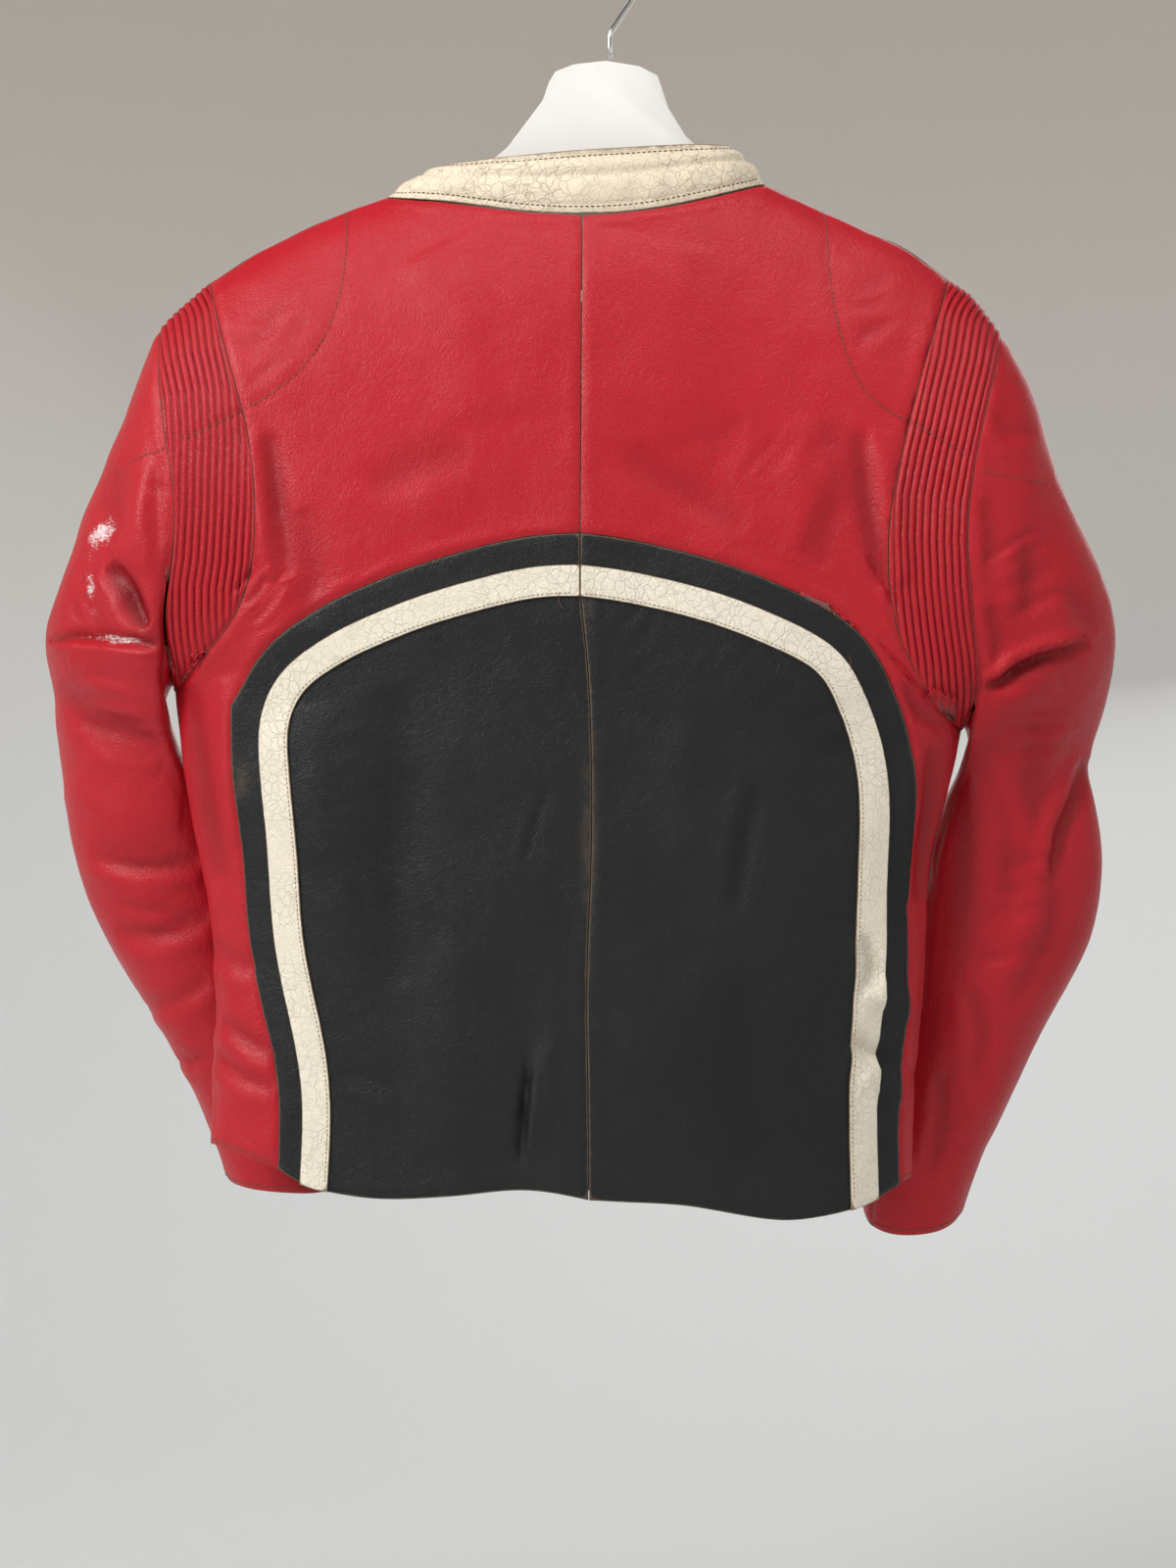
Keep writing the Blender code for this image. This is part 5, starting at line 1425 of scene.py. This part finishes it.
@dataclass
class Sewing:
    """Every stitch of the jacket, as small bent lengths of thread."""

    shells: dict[str, LeatherShell]
    sides: int = 6
    rings: int = 5

    def build(self) -> list[bpy.types.Object]:
        """Sews all seams, one object for each thread."""
        runs: dict[Thread, list[Run]] = {}
        for seam in EDGE_SEAMS:
            runs.setdefault(seam.thread, []).append(self.beside(seam))
        for seam in SIGHT_SEAMS:
            for run in self.through(seam):
                runs.setdefault(seam.thread, []).append(run)
        made = []
        for thread, lines in runs.items():
            thing = self.sewn(thread, lines)
            dress(thing, thread.finish.material())
            report(thing)
            made.append(thing)
        return made

    def beside(self, seam: EdgeSeam) -> Run:
        """Places and ways out along a line inside one side of a panel."""
        shell = self.shells[seam.node]
        side = shell.side_near(*seam.near)
        line = []
        for spot, inward in zip(side.spots, side.inward):
            hit, way, number, gap = shell.tree.find_nearest(spot + inward * seam.inset * MM)
            line.append((hit, way))
        return trimmed(line, seam.trim * MM)

    def through(self, seam: SightSeam) -> list[Run]:
        """Runs of places and ways out that are seen along a line of pixels."""
        runs: list[Run] = [[]]
        last = ""
        for px, py in dense(seam.line, 2.0):
            ray = SIGHT.ray(px, py)
            best: tuple[float, Vector, Vector, str] | None = None
            for node in seam.nodes:
                hit, way, number, gap = self.shells[node].tree.ray_cast(SIGHT.eye(), ray)
                if hit is not None and (best is None or gap < best[0]):
                    best = (gap, hit, way, node)
            if best is None:
                continue
            if last and best[3] != last:
                runs.append([])
            last = best[3]
            runs[-1].append((best[1], best[2]))
        return [run for run in runs if len(run) > 2]

    def sewn(self, thread: Thread, lines: list[Run]) -> bpy.types.Object:
        """One object with a stitch at every step of the lines."""
        bpy.ops.object.select_all(action="DESELECT")
        bpy.ops.mesh.primitive_uv_sphere_add(segments=self.sides, ring_count=self.rings, radius=1.0)
        pattern = bpy.context.object
        base, faces = taken_apart(pattern)
        copies: list[np.ndarray] = []
        dice = random.Random(len(lines))
        for line in lines:
            for one, two, way in paced(line, thread.step * MM, thread.stitch * MM):
                run = two - one
                across = way.cross(run).normalized()
                upward = run.cross(across).normalized()
                radius = thread.radius * MM * dice.uniform(0.88, 1.12)
                lift = upward * radius * dice.uniform(0.25, 0.6)
                turned = (np.outer(base[:, 0], np.array(across)) * radius
                          + np.outer(base[:, 1], np.array(upward)) * radius
                          + np.outer(base[:, 2], np.array(run)) * 0.5)
                copies.append(turned + np.array((one + two) / 2 + lift))
        thing = repeated("stitches_" + thread.finish.name, copies, faces)
        smooth_faces(thing)
        return thing


def dense(line: tuple[Pixel, ...], step: float) -> list[Pixel]:
    """Points at every step along a line of pixels."""
    made = []
    for one, two in zip(line, line[1:]):
        count = max(int(math.dist(one, two) / step), 1)
        for i in range(count):
            made.append((one[0] + (two[0] - one[0]) * i / count, one[1] + (two[1] - one[1]) * i / count))
    return made + [line[-1]]


def trimmed(line: Run, length: float) -> Run:
    """The line without that length at each end."""
    passed = run_lengths([spot for spot, _ in line])
    return [point for point, at in zip(line, passed) if length < at < passed[-1] - length]


def paced(line: Run, step: float, length: float) -> list[tuple[Vector, Vector, Vector]]:
    """Ends and way out of each stitch along a line."""
    passed = run_lengths([spot for spot, _ in line])

    def at(distance: float) -> tuple[Vector, Vector]:
        number = min(max(int(np.searchsorted(passed, distance)) - 1, 0), len(line) - 2)
        span = max(passed[number + 1] - passed[number], 1e-9)
        share = (distance - passed[number]) / span
        one, two = line[number], line[number + 1]
        return one[0].lerp(two[0], share), one[1].lerp(two[1], share)

    made = []
    for i in range(int(passed[-1] / step)):
        start, way = at(i * step)
        end, way_end = at(i * step + length)
        if (end - start).length > length * 0.4:
            made.append((start, end, (way + way_end).normalized()))
    return made


@dataclass
class ZipFastener:
    """The closed front zip: its teeth, tape, slider and pull tab."""

    tooth_pitch: float = 2.9
    tooth_size: tuple[float, float, float] = (3.3, 1.5, 1.15)
    tooth_shift: float = 0.9
    tooth_depth: float = 0.75
    tooth_round: float = 0.22
    end_gap: float = 2.0
    slider_round: float = 0.45
    slider_waist: float = 0.28
    pull_round: float = 0.3

    def build(self) -> list[bpy.types.Object]:
        """Builds the zip's pieces."""
        metal = ZIP_METAL.material()
        tape = own_mesh("zip_tape", "zip_tape_cloth")
        dress(tape, TAPE.material(), nodes=("zip_tape",))
        teeth = dress(self.teeth(), metal, nodes=("zip_chain",))
        slider = dress(self.slider(), metal, nodes=("zip_slider",))
        pull = dress(self.pull(), metal, "pull_tab", ("zip_pull",))
        made = [tape, teeth, slider, pull]
        for thing in made:
            report(thing)
        return made

    def teeth(self) -> bpy.types.Object:
        """Two rows of teeth that mesh, one template copied down the chain."""
        bpy.ops.object.select_all(action="DESELECT")
        bpy.ops.mesh.primitive_cube_add(size=1.0)
        base, faces = taken_apart(softened(bpy.context.object, self.tooth_round, 1, by_angle=False))
        size = np.array(self.tooth_size) * MM
        low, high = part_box("zip_chain")
        middle = (low[0] + high[0]) / 2
        chain = own_mesh("zip_chain", "chain_guide")
        tree = BVHTree.FromObject(chain, bpy.context.evaluated_depsgraph_get())
        bpy.data.objects.remove(chain, do_unlink=True)
        copies = []
        count = int((high[2] - low[2] - 2 * self.end_gap * MM) / (self.tooth_pitch * MM) * 2)
        for i in range(count):
            side = -1 if i % 2 else 1
            z = high[2] - self.end_gap * MM - i * self.tooth_pitch * MM / 2
            hit = tree.ray_cast(Vector((middle, 0.2, z)), Vector((0.0, -1.0, 0.0)))[0]
            if hit is None:
                continue
            centre = np.array((middle + side * self.tooth_shift * MM, hit.y - self.tooth_depth * MM, z))
            copies.append(base * size + centre)
        return repeated("zip_teeth", copies, faces)

    def slider(self) -> bpy.types.Object:
        """The slider with rounded edges and a waisted body."""
        thing = own_mesh("zip_slider", "zip_slider_body")
        low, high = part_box("zip_slider")
        middle = (low + high) / 2
        for vertex in thing.data.vertices:
            down = (high[2] - vertex.co.z) / (high[2] - low[2])
            vertex.co.x = middle[0] + (vertex.co.x - middle[0]) * (1.0 - self.slider_waist * down)
        softened(thing, self.slider_round * MM, 3)
        smooth_faces(thing)
        return thing

    def pull(self) -> bpy.types.Object:
        """The pull tab with softened edges and a raised rim."""
        return softened(own_mesh("zip_pull", "zip_pull_tab"), self.pull_round * MM, 2)


@dataclass
class Hanger:
    """The white board and its wire hook."""

    hook_levels: int = 1

    def build(self) -> list[bpy.types.Object]:
        """Builds both pieces."""
        board = own_mesh("hanger_board", "hanger_board_paint")
        dress(board, PAINT.material(), nodes=("hanger_board",))
        hook = own_mesh("hanger_hook", "hanger_hook_wire")
        subdivided(hook, self.hook_levels)
        dress(hook, CHROME.material(), nodes=("hanger_hook",))
        for thing, angle in ((board, 40.0), (hook, 60.0)):
            select_only(thing)
            bpy.ops.object.shade_smooth_by_angle(angle=math.radians(angle))
            report(thing)
        return [board, hook]


@dataclass(frozen=True)
class LooseEnd:
    """A loose thread: the pixels along it, and how far its end stands off."""

    line: tuple[Pixel, ...]
    lift: float = 3.0


LOOSE_ENDS = (
    LooseEnd(((571, 604), (568, 612), (572, 619), (575, 622))),
    LooseEnd(((866, 668), (869, 676), (866, 684))),
    LooseEnd(((219, 292), (214, 287), (217, 283), (223, 284))),
    LooseEnd(((590, 560), (593, 570), (589, 578)), 1.5),
    LooseEnd(((240, 438), (246, 444), (244, 452)), 2.0),
)


@dataclass
class LooseThreads:
    """Frayed thread ends on the seams."""

    shells: dict[str, LeatherShell]
    radius: float = 0.16

    def build(self) -> bpy.types.Object:
        """All loose ends as one mesh."""
        curve = bpy.data.curves.new("loose_threads", "CURVE")
        curve.dimensions = "3D"
        curve.bevel_depth = self.radius * MM
        curve.bevel_resolution = 1
        curve.resolution_u = 4
        curve.use_fill_caps = True
        for end in LOOSE_ENDS:
            points = []
            for i, (px, py) in enumerate(end.line):
                ray = SIGHT.ray(px, py)
                hits = [shell.tree.ray_cast(SIGHT.eye(), ray) for shell in self.shells.values()]
                hits = [found for found in hits if found[0] is not None]
                if not hits:
                    continue
                hit, way, number, gap = min(hits, key=lambda found: found[3])
                rise = end.lift * MM * (i / (len(end.line) - 1)) ** 1.5
                points.append(hit + way * (self.radius * MM + rise))
            if len(points) < 3:
                continue
            spline = curve.splines.new("NURBS")
            spline.points.add(len(points) - 1)
            spline.use_endpoint_u = True
            for point, spot in zip(spline.points, points):
                point.co = (*spot, 1.0)
        thing = placed("loose_threads", curve)
        dress(thing, BROWN_THREAD.material())
        LOG.info("%s: %d ends", thing.name, len(curve.splines))
        return thing


@dataclass
class Studio:
    """Pale round room, soft lights and the camera at the photograph's place."""

    floor_z: float = -1.30
    wall_radius: float = 3.2
    bend_radius: float = 1.6
    wall_top: float = 2.4
    ring_count: int = 96
    bend_steps: int = 16

    def build(self) -> None:
        """Builds the room, lights and camera."""
        self.room()
        self.light("window", (-2.3, -1.9, 1.2), (0.0, 0.0, -0.45), (1.2, 1.0), 88.0, (1.0, 0.99, 0.98))
        self.light("sky", (0.2, -1.0, 1.5), (0.0, 0.0, -0.4), (1.8, 0.7), 22.0, (1.0, 1.0, 1.0))
        self.light("fill", (2.2, -2.3, -0.3), (0.0, 0.0, -0.5), (1.4, 1.8), 22.0, (0.97, 0.98, 1.0))
        self.light("far_side", (0.6, 2.6, 0.6), (0.0, 0.0, -0.5), (2.2, 1.8), 28.0, (1.0, 1.0, 1.0))
        world = bpy.data.worlds.new("room_light")
        world.use_nodes = True
        world.node_tree.nodes["Background"].inputs["Color"].default_value = (0.86, 0.88, 0.90, 1.0)
        world.node_tree.nodes["Background"].inputs["Strength"].default_value = 0.15
        bpy.context.scene.world = world
        bpy.context.scene.view_settings.view_transform = "Standard"
        self.camera()

    def room(self) -> bpy.types.Object:
        """Floor that bends up into a round wall."""
        profile = [(0.0, self.floor_z), (self.wall_radius - self.bend_radius, self.floor_z)]
        for step in range(1, self.bend_steps + 1):
            turn = math.pi / 2 * step / self.bend_steps
            profile.append((self.wall_radius - self.bend_radius * (1 - math.sin(turn)),
                            self.floor_z + self.bend_radius * (1 - math.cos(turn))))
        profile.append((self.wall_radius, self.wall_top))
        mesh = bpy.data.meshes.new("room")
        edges = [(i, i + 1) for i in range(len(profile) - 1)]
        mesh.from_pydata([(x, 0.0, z) for x, z in profile], edges, [])
        room = placed("room", mesh)
        turn = room.modifiers.new("turn", "SCREW")
        turn.steps = self.ring_count
        turn.render_steps = self.ring_count
        turn.use_merge_vertices = True
        turn.use_normal_flip = True
        apply_modifiers(room)
        smooth_faces(room)
        room.data.materials.append(self.wall_paint_shaded_top())
        return room

    def wall_paint_shaded_top(self) -> bpy.types.Material:
        """Pale paint, darker and warmer towards the top; the darkening is painted shade on the upper wall."""
        coat = NewMaterial("wall_paint_shaded_top")
        graph, shader, place = coat.graph, coat.shader, coat.place
        height = graph.node("ShaderNodeSeparateXYZ", {0: place}).outputs["Z"]
        share = graph.band(height, -1.1, 1.0)
        # Painted shade: the wall darkens and warms towards the top.
        colour = graph.mix(share, (0.68, 0.70, 0.70), (0.60, 0.55, 0.50))
        graph.join(colour, shader.inputs["Base Color"])
        shader.inputs["Roughness"].default_value = 0.9
        shader.inputs["Specular IOR Level"].default_value = 0.2
        return coat.material

    def light(self, name: str, place: tuple[float, float, float], target: tuple[float, float, float],
              size: tuple[float, float], power: float, colour: Colour) -> None:
        """Adds a soft rectangular light.

        Args:
            name: the light's name.
            place: where it stands.
            target: what it points at.
            size: width and height.
            power: in watts.
            colour: of the light.
        """
        lamp = bpy.data.lights.new(name, "AREA")
        lamp.shape = "RECTANGLE"
        lamp.size, lamp.size_y = size
        lamp.energy = power
        lamp.color = colour
        thing = placed(name, lamp)
        thing.location = place
        way = Vector(target) - Vector(place)
        thing.rotation_euler = way.to_track_quat("-Z", "Y").to_euler()

    def camera(self) -> None:
        """The camera at the photograph's eye, level and square to the jacket's back."""
        lens = bpy.data.cameras.new("camera")
        lens.sensor_fit = "VERTICAL"
        lens.angle_y = SIGHT.view_angle()
        thing = placed("camera", lens)
        thing.location = SIGHT.eye()
        thing.rotation_euler = (math.pi / 2, 0.0, 0.0)
        bpy.context.scene.camera = thing


def main() -> None:
    """Builds every piece in order."""
    logging.basicConfig(level=logging.INFO, format="%(message)s")
    groups = {"grain": make_grain_group(), "wear_and_sheen": make_wear_and_sheen_group()}
    materials = {finish.name: finish.materials(groups) for finish in (RED, BLACK, CREAM, STRIPE)}
    Hanger().build()
    shells = Jacket(materials).build()
    Sewing(shells).build()
    ZipFastener().build()
    LooseThreads(shells).build()
    Studio().build()


if __name__ == "__main__":
    main()
